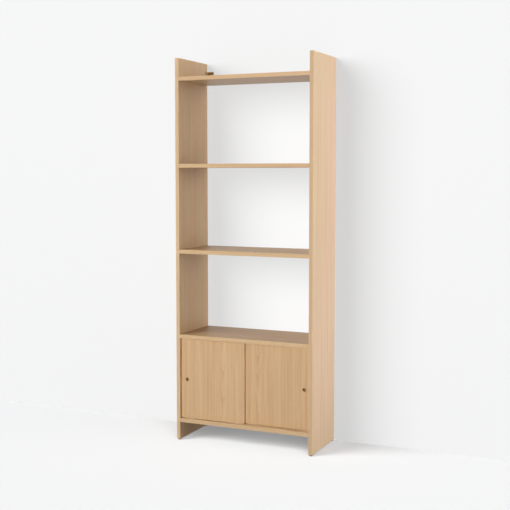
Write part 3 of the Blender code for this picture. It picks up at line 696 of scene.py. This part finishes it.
def weighed(parts, weights):
    """Add up the parts that have a weight, each times its weight."""
    return sum(parts[key] * weight for key, weight in weights.items())


print("A ring of", round(RING_SPACING / MM, 1), "mm and", len(GRAINS), "kinds of grain")

# %% [markdown]
# The finish itself weighs those parts. Depth of tone, roughness and relief are
# three sums of the same parts with other weights, so a pore that shows dark is
# also a little rough and a little sunk. Two things don't grow but come from
# the workshop: the thin band that closes a board's front edge leaves a fine
# seam, and every arris is rubbed pale by hands and dusters.

# %% The veneer
SHADE = 0.42
SHADE_WEIGHTS = {"strips": 0.30, "streaks": 1.35, "fibres": 0.45, "early": 0.28}
SHADE_LIMITS = (-0.3, 1.3)
PORE_SHARE = 0.42
CALM_FRONT = 0.6
BAND_WIDTH = 1.0 * MM
SEAM_SPAN = (0.05 * MM, 0.3 * MM)
SEAM_SHARE = 0.45
ARRIS_SPAN = (0.3 * MM, 2.4 * MM)
RUB_SPAN = (0.35, 0.65)
WORN_SHARE = 0.55
OAK_ROUGHNESS = 0.46
ROUGHNESS_WEIGHTS = {"fibres": 0.16, "pores": 0.12, "worn": -0.10}
OAK_GLOSS = 0.38
RELIEF_WEIGHTS = {"fibres": 0.35, "pores": -0.9, "early": -0.3, "seam": -0.8}
RELIEF_STRENGTH = 0.35
RELIEF_DEPTH = 0.25 * MM


def oak_veneer(node, grain, seed, heart, **changes):
    """Cover a board with oak, from its rings and grains to its worn edges, with painted
    shade or light on some faces.
    """
    look = {**COMMON_LOOK, **changes}
    oak = Finish(node + "_oak")
    point, masks, across, along, layer = veneer_axes(oak, grain, seed)
    sheet_place = oak.joined(across, along, layer)
    parts = grown(oak, sheet_place, across, along, heart)

    # Painted shade on flat faces, for how the light falls on them; below zero, as on the
    # base, it is painted light.
    shade = SHADE + look["tone"] + masks["flat"] * look["painted_flat_shade"]
    # Painted shade on front faces, deeper or, below zero, paler as painted light.
    shade = shade + masks["front"] * look["painted_front_shade"] + weighed(parts, SHADE_WEIGHTS)
    shade = shade.most(SHADE_LIMITS[0]).least(SHADE_LIMITS[1])
    colour = oak.blend(shade, OAK_PALE, OAK_DEEP)
    colour = oak.blend(parts["pores"] * PORE_SHARE, colour, OAK_PORE)
    # Painted shade: pore brown on side faces, which darkens the doors' edges in their gap.
    colour = oak.blend(masks["side"] * look["painted_side_shade"], colour, OAK_PORE)
    colour = oak.blend(masks["front"] * look["front_pale"], colour, OAK_WORN)

    warmth = oak.noise(sheet_place, (*TINT_GRAIN, look["tint_layer"]), 1.0)
    tint = oak.blend(oak.step(warmth, *look["tint_span"]), *look["tints"])
    calm = masks["front"] * CALM_FRONT + masks["inner"] * (1 - look["inner_tint"])
    colour = oak.blend(look["tint"] * (1 - calm), colour, tint, "MULTIPLY")

    arris = edge_distance(point, node)
    parts["worn"] = (1 - oak.step(arris, *ARRIS_SPAN)) * oak.step(parts["rub"], *RUB_SPAN)
    colour = oak.blend(parts["worn"] * WORN_SHARE, colour, OAK_WORN)
    band = abs(point["y"] - (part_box(node)[0][1] + BAND_WIDTH))
    parts["seam"] = (1 - oak.step(band, *SEAM_SPAN)) * (1 - masks["front"])
    colour = oak.blend(parts["seam"] * SEAM_SHARE, colour, OAK_PORE)

    oak.set("Base Color", colour)
    oak.set("Roughness", OAK_ROUGHNESS + weighed(parts, ROUGHNESS_WEIGHTS))
    oak.set("Specular IOR Level", OAK_GLOSS)
    oak.bump(weighed(parts, RELIEF_WEIGHTS), RELIEF_STRENGTH, RELIEF_DEPTH)
    return oak.material


def dress(node, material):
    """Put a finish on a node's own material slots."""
    for slot in frame["nodes"][node].material_slots:
        slot.link = "OBJECT"
        slot.material = material


print("Parts in the oak's tone and relief:", len(SHADE_WEIGHTS), len(RELIEF_WEIGHTS))

# %% [markdown]
# Each board now gets its own cut. The hearts of the arches were placed from the
# picture: on the left door the heart stands right of the middle, on the right
# door left of it. The side panels show nearly straight grain, so their hearts
# lie beyond the panel's edge and only the outer rings cross it.

# %% Dress the boards
PANEL_CUTS = {
    "left_side_panel": (GRAIN_UP, 2.0, 0.26, LEFT_PANEL_LOOK),
    "right_side_panel": (GRAIN_UP, 5.0, -0.24, RIGHT_PANEL_LOOK),
}
BOARD_CUTS = {
    "top_shelf": (GRAIN_ALONG, 11.0, 0.03, {}),
    "upper_shelf": (GRAIN_ALONG, 14.0, 0.03, {}),
    "middle_shelf": (GRAIN_ALONG, 17.0, 0.03, {}),
    "cabinet_top": (GRAIN_ALONG, 20.0, 0.03, {}),
    "cabinet_base": (GRAIN_ALONG, 23.0, 0.03, BASE_LOOK),
}
DOOR_CUTS = {
    "left_door_panel": (GRAIN_UP_DOOR, 31.0, -0.116, DOOR_LOOK),
    "right_door_panel": (GRAIN_UP_DOOR, 37.0, 0.072, DOOR_LOOK),
}
oak_cuts = {**PANEL_CUTS, **BOARD_CUTS, **DOOR_CUTS}
for node, (grain, seed, heart, look) in oak_cuts.items():
    dress(node, oak_veneer(node, grain, seed, heart, **look))
print("Oak on", len(oak_cuts), "boards")

# %% [markdown]
# ## Hardboard, plastic and metal
#
# The hidden parts each have a texture of their own. Hardboard is pressed fibre
# and looks clouded. The door tracks are drawn through a die, so every mark on
# them runs lengthwise. Nylon and black plastic are moulded and almost even.
# Zinc and brass parts are turned or bent from strip: turned ones carry rings,
# which follow a distance that is stored on each point as it is made.

# %% Hardboard and plastic
HARDBOARD_TONES = (linear(176, 140, 102), linear(140, 106, 72))
TRACK_TONES = (linear(214, 180, 140), linear(190, 156, 116))
NYLON_TONES = (linear(228, 224, 215), linear(214, 208, 196))
BLACK_TONES = (linear(42, 37, 32), linear(26, 22, 19))
RUB_HEIGHT = 2.0 * MM
# Grains to the metre: the broad clouds of tone, then the fine texture.
HARDBOARD_GRAINS = (14.0, 420.0)
TRACK_GRAINS = (60.0, 2600.0)
MOULDED_GRAINS = (220.0, 3500.0)


def closed(finish, shade, tones, rough, height, strength, depth):
    """Close a finish: a shade between two tones, a roughness and a relief."""
    finish.set("Base Color", finish.blend(shade, *tones))
    finish.set("Roughness", rough)
    finish.bump(height, strength, depth)
    return finish.material


def hardboard():
    """Pressed fibre: broad clouds of tone under a felt of fine fibres."""
    board = Finish("hardboard")
    clouds = board.cloud(HARDBOARD_GRAINS[0], 3.0) - 0.5
    fibre = board.cloud(HARDBOARD_GRAINS[1], 4.0, 0.7) - 0.5
    shade = (clouds * 0.8 + fibre * 1.2 + 0.5).most(0.0).least(1.0)
    rough = 0.62 + fibre * 0.3
    return closed(board, shade, HARDBOARD_TONES, rough, fibre, 0.3, 0.2 * MM)


def extruded_plastic():
    """Plastic from a die: lines along X, finer than half a millimetre."""
    plastic = Finish("brown_plastic")
    clouds = plastic.cloud(TRACK_GRAINS[0])
    fine = TRACK_GRAINS[1]
    lines = plastic.noise(plastic.place(), (2.0, fine, fine))
    shade = (lines * 0.6 + clouds * 0.4).most(0.0).least(1.0)
    rough = 0.36 + lines * 0.2
    return closed(plastic, shade, TRACK_TONES, rough, lines, 0.25, 0.04 * MM)


def moulded(name, tones, rough, rub_height=None):
    """Moulded plastic with a fine spark-eroded skin, worn where it rubs."""
    plastic = Finish(name)
    skin = plastic.cloud(MOULDED_GRAINS[1])
    shade = plastic.step(plastic.cloud(MOULDED_GRAINS[0], 3.0), 0.3, 0.7)
    rough = rough + (skin - 0.5) * 0.2
    if rub_height is not None:
        height = plastic.split(plastic.place())[2]
        rubbed = 1 - plastic.step(height, 0.0, rub_height)
        shade = shade * (1 - rubbed * 0.6)
        rough = rough + rubbed * 0.15
    return closed(plastic, shade, tones, rough, skin, 0.2, 0.03 * MM)


NYLON = moulded("white_nylon", NYLON_TONES, 0.38)
GLIDE_BLACK = moulded("black_plastic", BLACK_TONES, 0.5, RUB_HEIGHT)
dress("cabinet_back", hardboard())
track_plastic = extruded_plastic()
for track in ("lower_door_track", "upper_door_track"):
    dress(track, track_plastic)
print("Finishes so far:", len(bpy.data.materials))

# %% Metal
ZINC_TONES = (linear(178, 176, 170), linear(140, 138, 134))
STRIP_TONES = (linear(176, 146, 92), linear(128, 104, 62))
CUP_TONES = (linear(182, 146, 98), linear(134, 103, 66))
TURNING_MARKS = (9000.0, 1.0, 1.0)
ROLLING_MARKS = (260.0, 260.0, 7000.0)
METAL_CLOUDS = 240.0
DULL_SPAN = (0.32, 0.68)
DULL_SHARE = 0.75


def metal(name, tones, rough, turned_marks):
    """Metal with tool marks and a clouded skin."""
    alloy = Finish(name)
    if turned_marks:
        stored = {"attribute_name": "reach"}
        reach = alloy.node("ShaderNodeAttribute", stored, (), "Fac")
        marks = alloy.noise(alloy.joined(reach, 0.0, 0.0), TURNING_MARKS)
    else:
        marks = alloy.noise(alloy.place(), ROLLING_MARKS)
    clouds = alloy.cloud(METAL_CLOUDS, 4.0, 0.6)
    dull = alloy.step(clouds, *DULL_SPAN)
    shade = (dull * DULL_SHARE + marks * (1 - DULL_SHARE)).least(1.0)
    alloy.set("Metallic", 1.0)
    rough = rough + (marks - 0.5) * 0.22 + (clouds - 0.5) * 0.12
    return closed(alloy, shade, tones, rough, marks, 0.18, 0.03 * MM)


ZINC = metal("turned_zinc", ZINC_TONES, 0.36, True)
STRIP_BRASS = metal("strip_brass", STRIP_TONES, 0.42, False)
CUP_BRASS = metal("cup_brass", CUP_TONES, 0.36, True)
for door in SIDES:
    for end in SIDES:
        dress(door + "_door_carrier_" + end, NYLON)
        dress(door + "_door_axle_" + end, ZINC)
print("Finishes in the file:", len(bpy.data.materials))

# %% [markdown]
# ## Turned pieces as arrays
#
# A pull, a wheel, a guide, a glide, a screw and a cam are all turned: one
# profile goes round one axis. Blender's Screw modifier could do it, but a
# table of points is shorter, exact at the axis, and can be pushed in or out
# afterwards, which is how the ribs of a wheel or the cross in a screw are made
# without cutting.

# %% Profiles
SIDE_GIVEN = 0.45


def eased(corners, radius, steps=6):
    """Round a profile's inner corners.

    At a corner P, with S and E a radius away along its two sides, the points
    are (1-t)^2 S + 2t(1-t) P + t^2 E. A short side gives at most the share
    SIDE_GIVEN of itself to each of its ends.
    """
    line = np.array(corners, float)
    here = line[1:-1]
    wanted = np.reshape(radius, (-1, 1))
    ends = []
    for side in (line[:-2] - here, line[2:] - here):
        length = np.linalg.norm(side, axis=1, keepdims=True)
        ends.append(here + side * np.minimum(wanted / length, SIDE_GIVEN))
    t = np.linspace(0, 1, steps)[None, :, None]
    curve = (1 - t) ** 2 * ends[0][:, None] + t**2 * ends[1][:, None]
    curve = curve + 2 * t * (1 - t) * here[:, None]
    return np.vstack([line[:1], curve.reshape(-1, 2), line[-1:]])


def spread(profile, gap):
    """Add points along the straight runs, so that none is longer than gap."""
    steps = np.linalg.norm(np.diff(profile, axis=0), axis=1)
    counts = np.maximum(1, np.ceil(steps / gap)).astype(int)
    sides = zip(profile, profile[1:], counts)
    runs = [np.linspace(a, b, count, endpoint=False) for a, b, count in sides]
    return np.vstack([*runs, profile[-1:]])


button = eased([(0, 0), (5, 0), (5, 4), (0, 4)], 1.0)
print("A button's profile has", len(button), "points,", len(spread(button, 0.2)), "spread")


# %% Turning
def turned(profile, sides, relief=None):
    """Spin a profile of (radius, height) round +Z.

    Point (i, j) is (r_i cos a_j, r_i sin a_j, h_i) with a_j = 2 pi j / sides.
    relief(x, y, z) gives a new z. A profile that starts on the axis is closed
    by one point at each end, and any other joins its own start.
    """
    steps = np.linalg.norm(np.diff(profile, axis=0), axis=1)
    reach = np.concatenate([[0], np.cumsum(steps)])
    on_axis = profile[0, 0] < 1e-9
    rows = profile[1:-1] if on_axis else profile
    angle = 2 * np.pi * np.arange(sides) / sides
    x = rows[:, :1] * np.cos(angle)
    y = rows[:, :1] * np.sin(angle)
    z = np.repeat(rows[:, 1:], sides, axis=1)
    points = np.stack([x, y, z], axis=-1).reshape(-1, 3)
    lengths = np.repeat(reach[1:-1] if on_axis else reach, sides)
    index = np.arange(len(rows) * sides).reshape(-1, sides)
    upper = index[1:] if on_axis else np.roll(index, -1, axis=0)
    lower = index[:-1] if on_axis else index
    quads = [lower, np.roll(lower, -1, 1), np.roll(upper, -1, 1), upper]
    faces = np.stack(quads, axis=-1).reshape(-1, 4).tolist()
    if on_axis:
        foot = np.full(sides, len(points))
        fan = np.stack([foot, np.roll(index[0], -1), index[0]], axis=-1)
        cap = np.stack([foot + 1, index[-1], np.roll(index[-1], -1)], axis=-1)
        faces += fan.tolist() + cap.tolist()
        ends = [[0, 0, height] for height in profile[[0, -1], 1]]
        points = np.vstack([points, ends])
        lengths = np.append(lengths, reach[[0, -1]])
    if relief is not None:
        points[:, 2] = relief(points[:, 0], points[:, 1], points[:, 2])
    return points, faces, lengths


print("A turned button has", len(turned(button, 48)[0]), "points")

# %% [markdown]
# A turned shape stands on +Z at the origin. It is aimed along the axis of the
# solid that it stands for, and its place goes into its mesh, so that the piece
# itself stays at the origin, unturned. The distance along the profile is kept
# on each point, where the turned metals find it.

# %% Placing
STEEP = 0.9
SHARP_TURNED = 34.0


def aimed(shape, node, axis, **given):
    """Turn a shape's +Z to an axis and carry its zero to a node's middle.

    A given x, y or z replaces the middle's own. The two other directions come
    from cross products, so nothing is mirrored.
    """
    points, faces, lengths = shape
    origin = [given.get(key, value) for key, value in zip("xyz", middle_of(node))]
    up = np.array(axis, float)
    helper = np.array([0.0, 0.0, 1.0] if abs(up[2]) < STEEP else [1.0, 0.0, 0.0])
    first = np.cross(helper, up)
    first = first / np.linalg.norm(first)
    second = np.cross(up, first)
    turn = np.stack([first, second, up])
    return points @ turn + np.array(origin, float), faces, lengths


def together(one, other):
    """Lay two closed shapes into one table of points and faces."""
    points = np.vstack([one[0], other[0]])
    faces = one[1] + [[corner + len(one[0]) for corner in face] for face in other[1]]
    return points, faces, np.concatenate([one[2], other[2]])


def stand_for(name, mesh, material, sharp, node):
    """Shade a mesh and make it the piece that stands for a node."""
    mesh.materials.clear()
    mesh.materials.append(material)
    mesh.shade_smooth()
    mesh.set_sharp_from_angle(angle=math.radians(sharp))
    piece = bpy.data.objects.new(name, mesh)
    bpy.context.scene.collection.objects.link(piece)
    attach(piece, frame["nodes"][node]["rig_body"])
    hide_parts(node)
    return piece


def fit(name, shape, material, node):
    """Make a mesh from a shape and let it stand for a node."""
    points, faces, lengths = shape
    mesh = bpy.data.meshes.new(name)
    mesh.from_pydata(points.tolist(), [], faces)
    stored = mesh.attributes.new("reach", "FLOAT", "POINT")
    stored.data.foreach_set("value", lengths.astype(np.float32))
    stand_for(name, mesh, material, SHARP_TURNED, node)


print("Edges of turned pieces are sharp from", SHARP_TURNED, "degrees")

# %% [markdown]
# ## The finger pulls
#
# Each door has one small brass cup, let in flush so that one door can pass the
# other. Its rim lies in the door's face. The wall drops to a floor with a
# rounded edge, and the floor itself is very slightly domed, as pressed cups
# are. The profile starts on the axis at the cup's floor, climbs the inner wall,
# crosses the rim and comes back down the outside.

# %% Finger pulls
PULL_WALL = 0.8 * MM
PULL_RIM = 0.8 * MM
PULL_MOUTH = 15.6 * MM
PULL_CROWN = 0.35 * MM
PULL_SHOULDER = (0.45, 0.7)
PULL_RADII = np.array([2.0, 2.4, 0.4, 0.35, 0.15, 0.2, 2.2]) * MM


def pull_cup(node):
    """A cup whose floor is domed by PULL_CROWN, with a rim to its box's edge."""
    rim = size_of(node)[0] / 2
    depth = size_of(node)[1]
    mouth = PULL_MOUTH / 2
    outer = mouth + PULL_WALL
    floor_depth = depth - PULL_WALL
    shoulder_reach, shoulder_rise = PULL_SHOULDER
    corners = [
        (0, floor_depth - PULL_CROWN),
        (mouth * shoulder_reach, floor_depth - PULL_CROWN * shoulder_rise),
    ]
    corners += [(mouth, floor_depth), (mouth, 0), (rim, 0), (rim, PULL_RIM)]
    corners += [(outer, PULL_RIM), (outer, depth), (0, depth)]
    profile = spread(eased(corners, PULL_RADII, 9), 0.5 * MM)
    return aimed(turned(profile, 128), node, (0, 1, 0), y=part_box(node)[0].y)


for door in SIDES:
    node_name = door + "_door_pull"
    cup = pull_cup(node_name)
    fit(door + "_pull_cup", cup, CUP_BRASS, node_name)
print("Each pull has", len(cup[0]), "points")

# %% [markdown]
# ## Wheels and guides
#
# A door stands on two nylon wheels and is steered by two guides above. The
# wheel has a hub, a thin web and a rim with eased edges. Eight ribs stiffen
# the web on both sides: the web's points are lifted where the angle is close
# to a rib. The guide is a plug with a flange and a domed nose.

# %% Wheels
BORE = 1.8 * MM
HUB = 3.3 * MM
RIM_INNER = 5.9 * MM
TREAD = 7.5 * MM
HUB_HALF = 2.2 * MM
RIM_HALF = 2.0 * MM
WEB_HALF = 1.0 * MM
WHEEL_GAP = 0.35 * MM
RIB_COUNT = 8
RIB_HALF_WIDTH = 0.35 * MM
RIB_RISE = 0.6 * MM
RIB_FOOT = 1.4
RIB_FLANK = 0.7
WEB_MARGIN = 0.05 * MM
WEB_SKIN = 0.2 * MM


def smooth(share):
    """Ease a share from 0 to 1: s^2 (3 - 2s)."""
    return share * share * (3 - 2 * share)


def web_ribs(x, y, z):
    """Lift the web by a rib's height where a point is near a rib's middle.

    The sideways distance to the nearest rib is r sin(angle offset). The rise
    starts RIB_FOOT half widths out and takes RIB_FLANK of them.
    """
    radius = np.hypot(x, y)
    angle = np.arctan2(y, x)
    pitch = 2 * np.pi / RIB_COUNT
    offset = np.abs((angle + pitch / 2) % pitch - pitch / 2)
    sideways = radius * np.sin(offset)
    inside = (RIB_HALF_WIDTH * RIB_FOOT - sideways) / (RIB_HALF_WIDTH * RIB_FLANK)
    rise = smooth(np.clip(inside, 0, 1)) * RIB_RISE
    on_web = (radius > HUB + WEB_MARGIN) & (radius < RIM_INNER - WEB_MARGIN)
    on_web = on_web & (np.abs(z) < WEB_HALF + WEB_SKIN)
    return z + np.sign(z) * np.where(on_web, rise, 0)


def wheel_shape():
    """One half of the section, its mirror image, and the ribs."""
    half = [(TREAD, 0), (TREAD, RIM_HALF)]
    half += [(RIM_INNER, RIM_HALF), (RIM_INNER, WEB_HALF)]
    half += [(HUB, WEB_HALF), (HUB, HUB_HALF)]
    half += [(BORE, HUB_HALF), (BORE, 0)]
    other = [(radius, -height) for radius, height in reversed(half[1:-1])]
    corners = half + other + half[:1]
    profile = spread(eased(corners, WHEEL_GAP, 5), WHEEL_GAP)
    return turned(profile[:-1], 96, web_ribs)


print("Wheel points:", len(wheel_shape()[0]))

# %% Guides
GUIDE_BODY = 4.0 * MM
GUIDE_NOSE = 2.5 * MM
GUIDE_LIFT = 0.3 * MM
GUIDE_FLANGE = 1.0 * MM
GUIDE_RADII = np.array([1.2, 0.1, 0.2, 0.3, 0.5, 1.6]) * MM


def guide_shape(length, flange, rise):
    """A plug of this length below zero, a flange, and a nose of this rise."""
    brim = GUIDE_LIFT + GUIDE_FLANGE
    corners = [(0, -length), (GUIDE_BODY, -length), (GUIDE_BODY, GUIDE_LIFT)]
    corners += [(flange, GUIDE_LIFT), (flange, brim), (GUIDE_NOSE, brim)]
    corners += [(GUIDE_NOSE, rise), (0, rise)]
    return turned(eased(corners, GUIDE_RADII, 8), 64)


for door in SIDES:
    door_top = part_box(door + "_door_panel")[1].z
    for end in SIDES:
        wheel_node = door + "_door_wheel_" + end
        wheel = aimed(wheel_shape(), wheel_node, (0, 1, 0))
        fit(door + "_wheel_" + end, wheel, NYLON, wheel_node)
        guide_node = door + "_door_guide_" + end
        lowest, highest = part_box(guide_node)
        flange = size_of(guide_node)[0] / 2
        guide = guide_shape(door_top - lowest.z, flange, highest.z - door_top)
        guide = aimed(guide, guide_node, (0, 0, 1), z=door_top)
        fit(door + "_guide_" + end, guide, NYLON, guide_node)
print("Guide points:", len(guide[0]))

# %% [markdown]
# ## Glides, screws and cam fittings
#
# A glide is a pad on a nail. A bracket screw has a low round head with a
# cross, and a cam fitting has a die-cast cam with a slot and a short cross,
# drawn tight on a bolt from the side panel. The crosses are pressed in by
# moving the points of the head: a point sinks where it lies inside either arm.

# %% Glides
PAD_HEIGHT = 5.0 * MM
GLIDE_NAIL = 1.5 * MM
GLIDE_RADII = np.array([1.3, 0.5, 0.2, 1.2]) * MM


def glide_shape(radius, nail_top):
    """A round pad that stands on the floor, with its nail above it."""
    corners = [(0, 0), (radius, 0), (radius, PAD_HEIGHT)]
    corners += [(GLIDE_NAIL, PAD_HEIGHT), (GLIDE_NAIL, nail_top), (0, nail_top)]
    return turned(eased(corners, GLIDE_RADII, 8), 72)


for side in SIDES:
    for row in ROWS:
        glide_node = "glide_" + side + "_" + row
        glide = glide_shape(size_of(glide_node)[0] / 2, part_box(glide_node)[1].z)
        glide = aimed(glide, glide_node, (0, 0, 1), z=0)
        fit(side + "_glide_" + row, glide, GLIDE_BLACK, glide_node)
print("Glide points:", len(glide[0]))

# %% Screws
HEAD_HEIGHT = 2.2 * MM
SCREW_SHANK = 1.75 * MM
SCREW_POINT = 3.0 * MM
# Shares of the head's radius and height, from its crown to its seat.
SCREW_HEAD = [(0, 1.0), (0.55, 0.97), (0.88, 0.72), (1.0, 0.3), (1.0, 0)]
SCREW_RADII = np.array([1.0, 0.6, 0.4, 0.15, 0.1, 0.2]) * MM
SCREW_GAP = 0.12 * MM
# A cross has its arms, as half length and half width, then depth, ease and limit.
SCREW_ARMS = [(1.7 * MM, 0.42 * MM)] * 2
SCREW_CROSS = (SCREW_ARMS, 1.1 * MM, 0.12 * MM, -0.6 * HEAD_HEIGHT)


def crossed(arms, depth, ease, limit):
    """Return a relief that sinks a cross into the faces below a limit.

    A point's share of an arm is the smaller of its two margins over the ease,
    held between 0 and 1.
    """
    def relief(x, y, z):
        share = np.zeros_like(x)
        for half_length, half_width in arms:
            along = np.clip((half_length - np.abs(x)) / ease, 0, 1)
            across = np.clip((half_width - np.abs(y)) / ease, 0, 1)
            share = np.maximum(share, np.minimum(along, across))
            x, y = y, x
        return z + np.where(z < limit, smooth(share) * depth, 0)
    return relief


def screw_shape(head, length):
    """A round head below zero, and above it the shank with its point."""
    corners = [(head * out, -HEAD_HEIGHT * rise) for out, rise in SCREW_HEAD]
    corners += [(SCREW_SHANK, 0), (SCREW_SHANK, length - SCREW_POINT), (0, length)]
    profile = spread(eased(corners, SCREW_RADII), SCREW_GAP)
    return turned(profile, 96, crossed(*SCREW_CROSS))


for side, sign in zip(SIDES, (-1, 1)):
    for row in ("lower", "upper"):
        screw_node = side + "_bracket_screw_" + row
        length = size_of(screw_node)[0] - HEAD_HEIGHT
        screw = screw_shape(size_of(screw_node)[2] / 2, length)
        seat = ends_of(screw_node, sign)[0] + sign * HEAD_HEIGHT
        screw = aimed(screw, screw_node, (sign, 0, 0), x=seat)
        fit(side + "_screw_" + row, screw, ZINC, screw_node)
print("Screw points:", len(screw[0]))

# %% Cams and bolts
CAM_RADIUS = 7.5 * MM
CAM_DISH = 0.25 * MM
CAM_LIP_INNER = 1.3 * MM
CAM_LIP_OUTER = 1.1 * MM
CAM_RADII = np.array([0.2, 0.2, 0.3, 0.5]) * MM
CAM_GAP = 0.3 * MM
CAM_ARMS = [(5.0 * MM, 0.7 * MM), (2.6 * MM, 0.6 * MM)]
CAM_CROSS = (CAM_ARMS, 2.2 * MM, 0.2 * MM, 0.4 * MM)
BOLT_HEIGHT = 10.0 * MM
BOLT_SHANK = 3.5 * MM
BOLT_SHOULDER = 0.6 * MM
THREAD_ROOT = 2.3 * MM
THREAD_RISE = 0.2 * MM
THREAD_PITCH = 1.1 * MM
THREAD_END = -0.4 * MM


def cam_shape(radius, height):
    """A drum whose open face lies at zero, dished inside its lip."""
    corners = [(0, CAM_DISH), (radius - CAM_LIP_INNER, CAM_DISH)]
    corners += [(radius - CAM_LIP_OUTER, 0), (radius, 0), (radius, height), (0, height)]
    profile = spread(eased(corners, CAM_RADII, 5), CAM_GAP)
    return turned(profile, 96, crossed(*CAM_CROSS))


def bolt_shape(start, cam_distance):
    """A shank as far as the cam, and a thread that goes into the panel.

    The thread's radius is THREAD_ROOT plus THREAD_RISE times a triangle wave
    that repeats with THREAD_PITCH.
    """
    heights = np.arange(start, THREAD_END, THREAD_PITCH / 4)
    wave = np.abs((heights / THREAD_PITCH) % 1 - 0.5) * 2
    thread = np.column_stack([THREAD_ROOT + THREAD_RISE * wave, heights])
    shank = [(BOLT_SHANK, BOLT_SHOULDER), (BOLT_SHANK, cam_distance), (0, cam_distance)]
    profile = np.vstack([[(0, start)], thread, [(THREAD_ROOT, BOLT_SHOULDER)], shank])
    return turned(profile, 32)


for board in BOARD_CUTS:
    bolt_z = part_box(board)[0].z + BOLT_HEIGHT
    for side, sign in zip(SIDES, (-1, 1)):
        panel_x = ends_of(side + "_side_panel", sign)[0]
        for row in ROWS:
            cam_node = board + "_cam_" + side + "_" + row
            inner_x, outer_x = ends_of(cam_node, sign)
            cam_x = inner_x + sign * CAM_RADIUS
            cam = cam_shape(CAM_RADIUS, size_of(cam_node)[2])
            cam = aimed(cam, cam_node, (0, 0, 1), x=cam_x, z=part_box(cam_node)[0].z)
            bolt = bolt_shape(-abs(outer_x - panel_x), abs(panel_x - cam_x))
            bolt = aimed(bolt, cam_node, (-sign, 0, 0), x=panel_x, z=bolt_z)
            name = board + "_fitting_" + side + "_" + row
            fit(name, together(cam, bolt), ZINC, cam_node)
print("Cam points:", len(cam[0]), " bolt points:", len(bolt[0]))

# %% [markdown]
# ## The wall brackets
#
# A bracket is a strip bent round the corner between panel and wall. Its solid
# already has the bend, the rounded corners and the holes, so a copy of it is
# welded, its flat faces are made whole again, and a fine bevel softens the
# punched edges.

# %% Wall brackets
import bmesh

WELD = 0.01 * MM
FLAT_WITHIN = 1.0
SHARP_BENT = 50.0
BRACKET_BEVEL = 0.35 * MM
BEVEL_STEPS = 3


def softened(name, node):
    """Copy a node, weld it, and ease its edges by a bevel."""
    bm = bmesh.new()
    bm.from_mesh(frame["nodes"][node].data)
    bmesh.ops.remove_doubles(bm, verts=bm.verts, dist=WELD)
    flat = math.radians(FLAT_WITHIN)
    bmesh.ops.dissolve_limit(bm, angle_limit=flat, verts=bm.verts, edges=bm.edges)
    mesh = bpy.data.meshes.new(name)
    bm.to_mesh(mesh)
    bm.free()
    piece = stand_for(name, mesh, STRIP_BRASS, SHARP_BENT, node)
    ease = piece.modifiers.new("eased_edges", "BEVEL")
    ease.width = BRACKET_BEVEL
    ease.segments = BEVEL_STEPS
    ease.limit_method = "ANGLE"
    ease.angle_limit = math.radians(SHARP_BENT)
    return piece


for side in SIDES:
    bracket = softened(side + "_bent_bracket", side + "_wall_bracket")
print("A bracket has", len(bracket.data.polygons), "faces before its bevel")

# %% [markdown]
# ## Measure and finish
#
# The box round everything that shows is measured again, and its largest
# change from the one at the start is printed.

# %% Finish
box_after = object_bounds()
growth = max(abs(a - b) for m, n in zip(box_before, box_after) for a, b in zip(m, n))
print("Largest change of the box in millimetres:", round(growth / MM, 3))
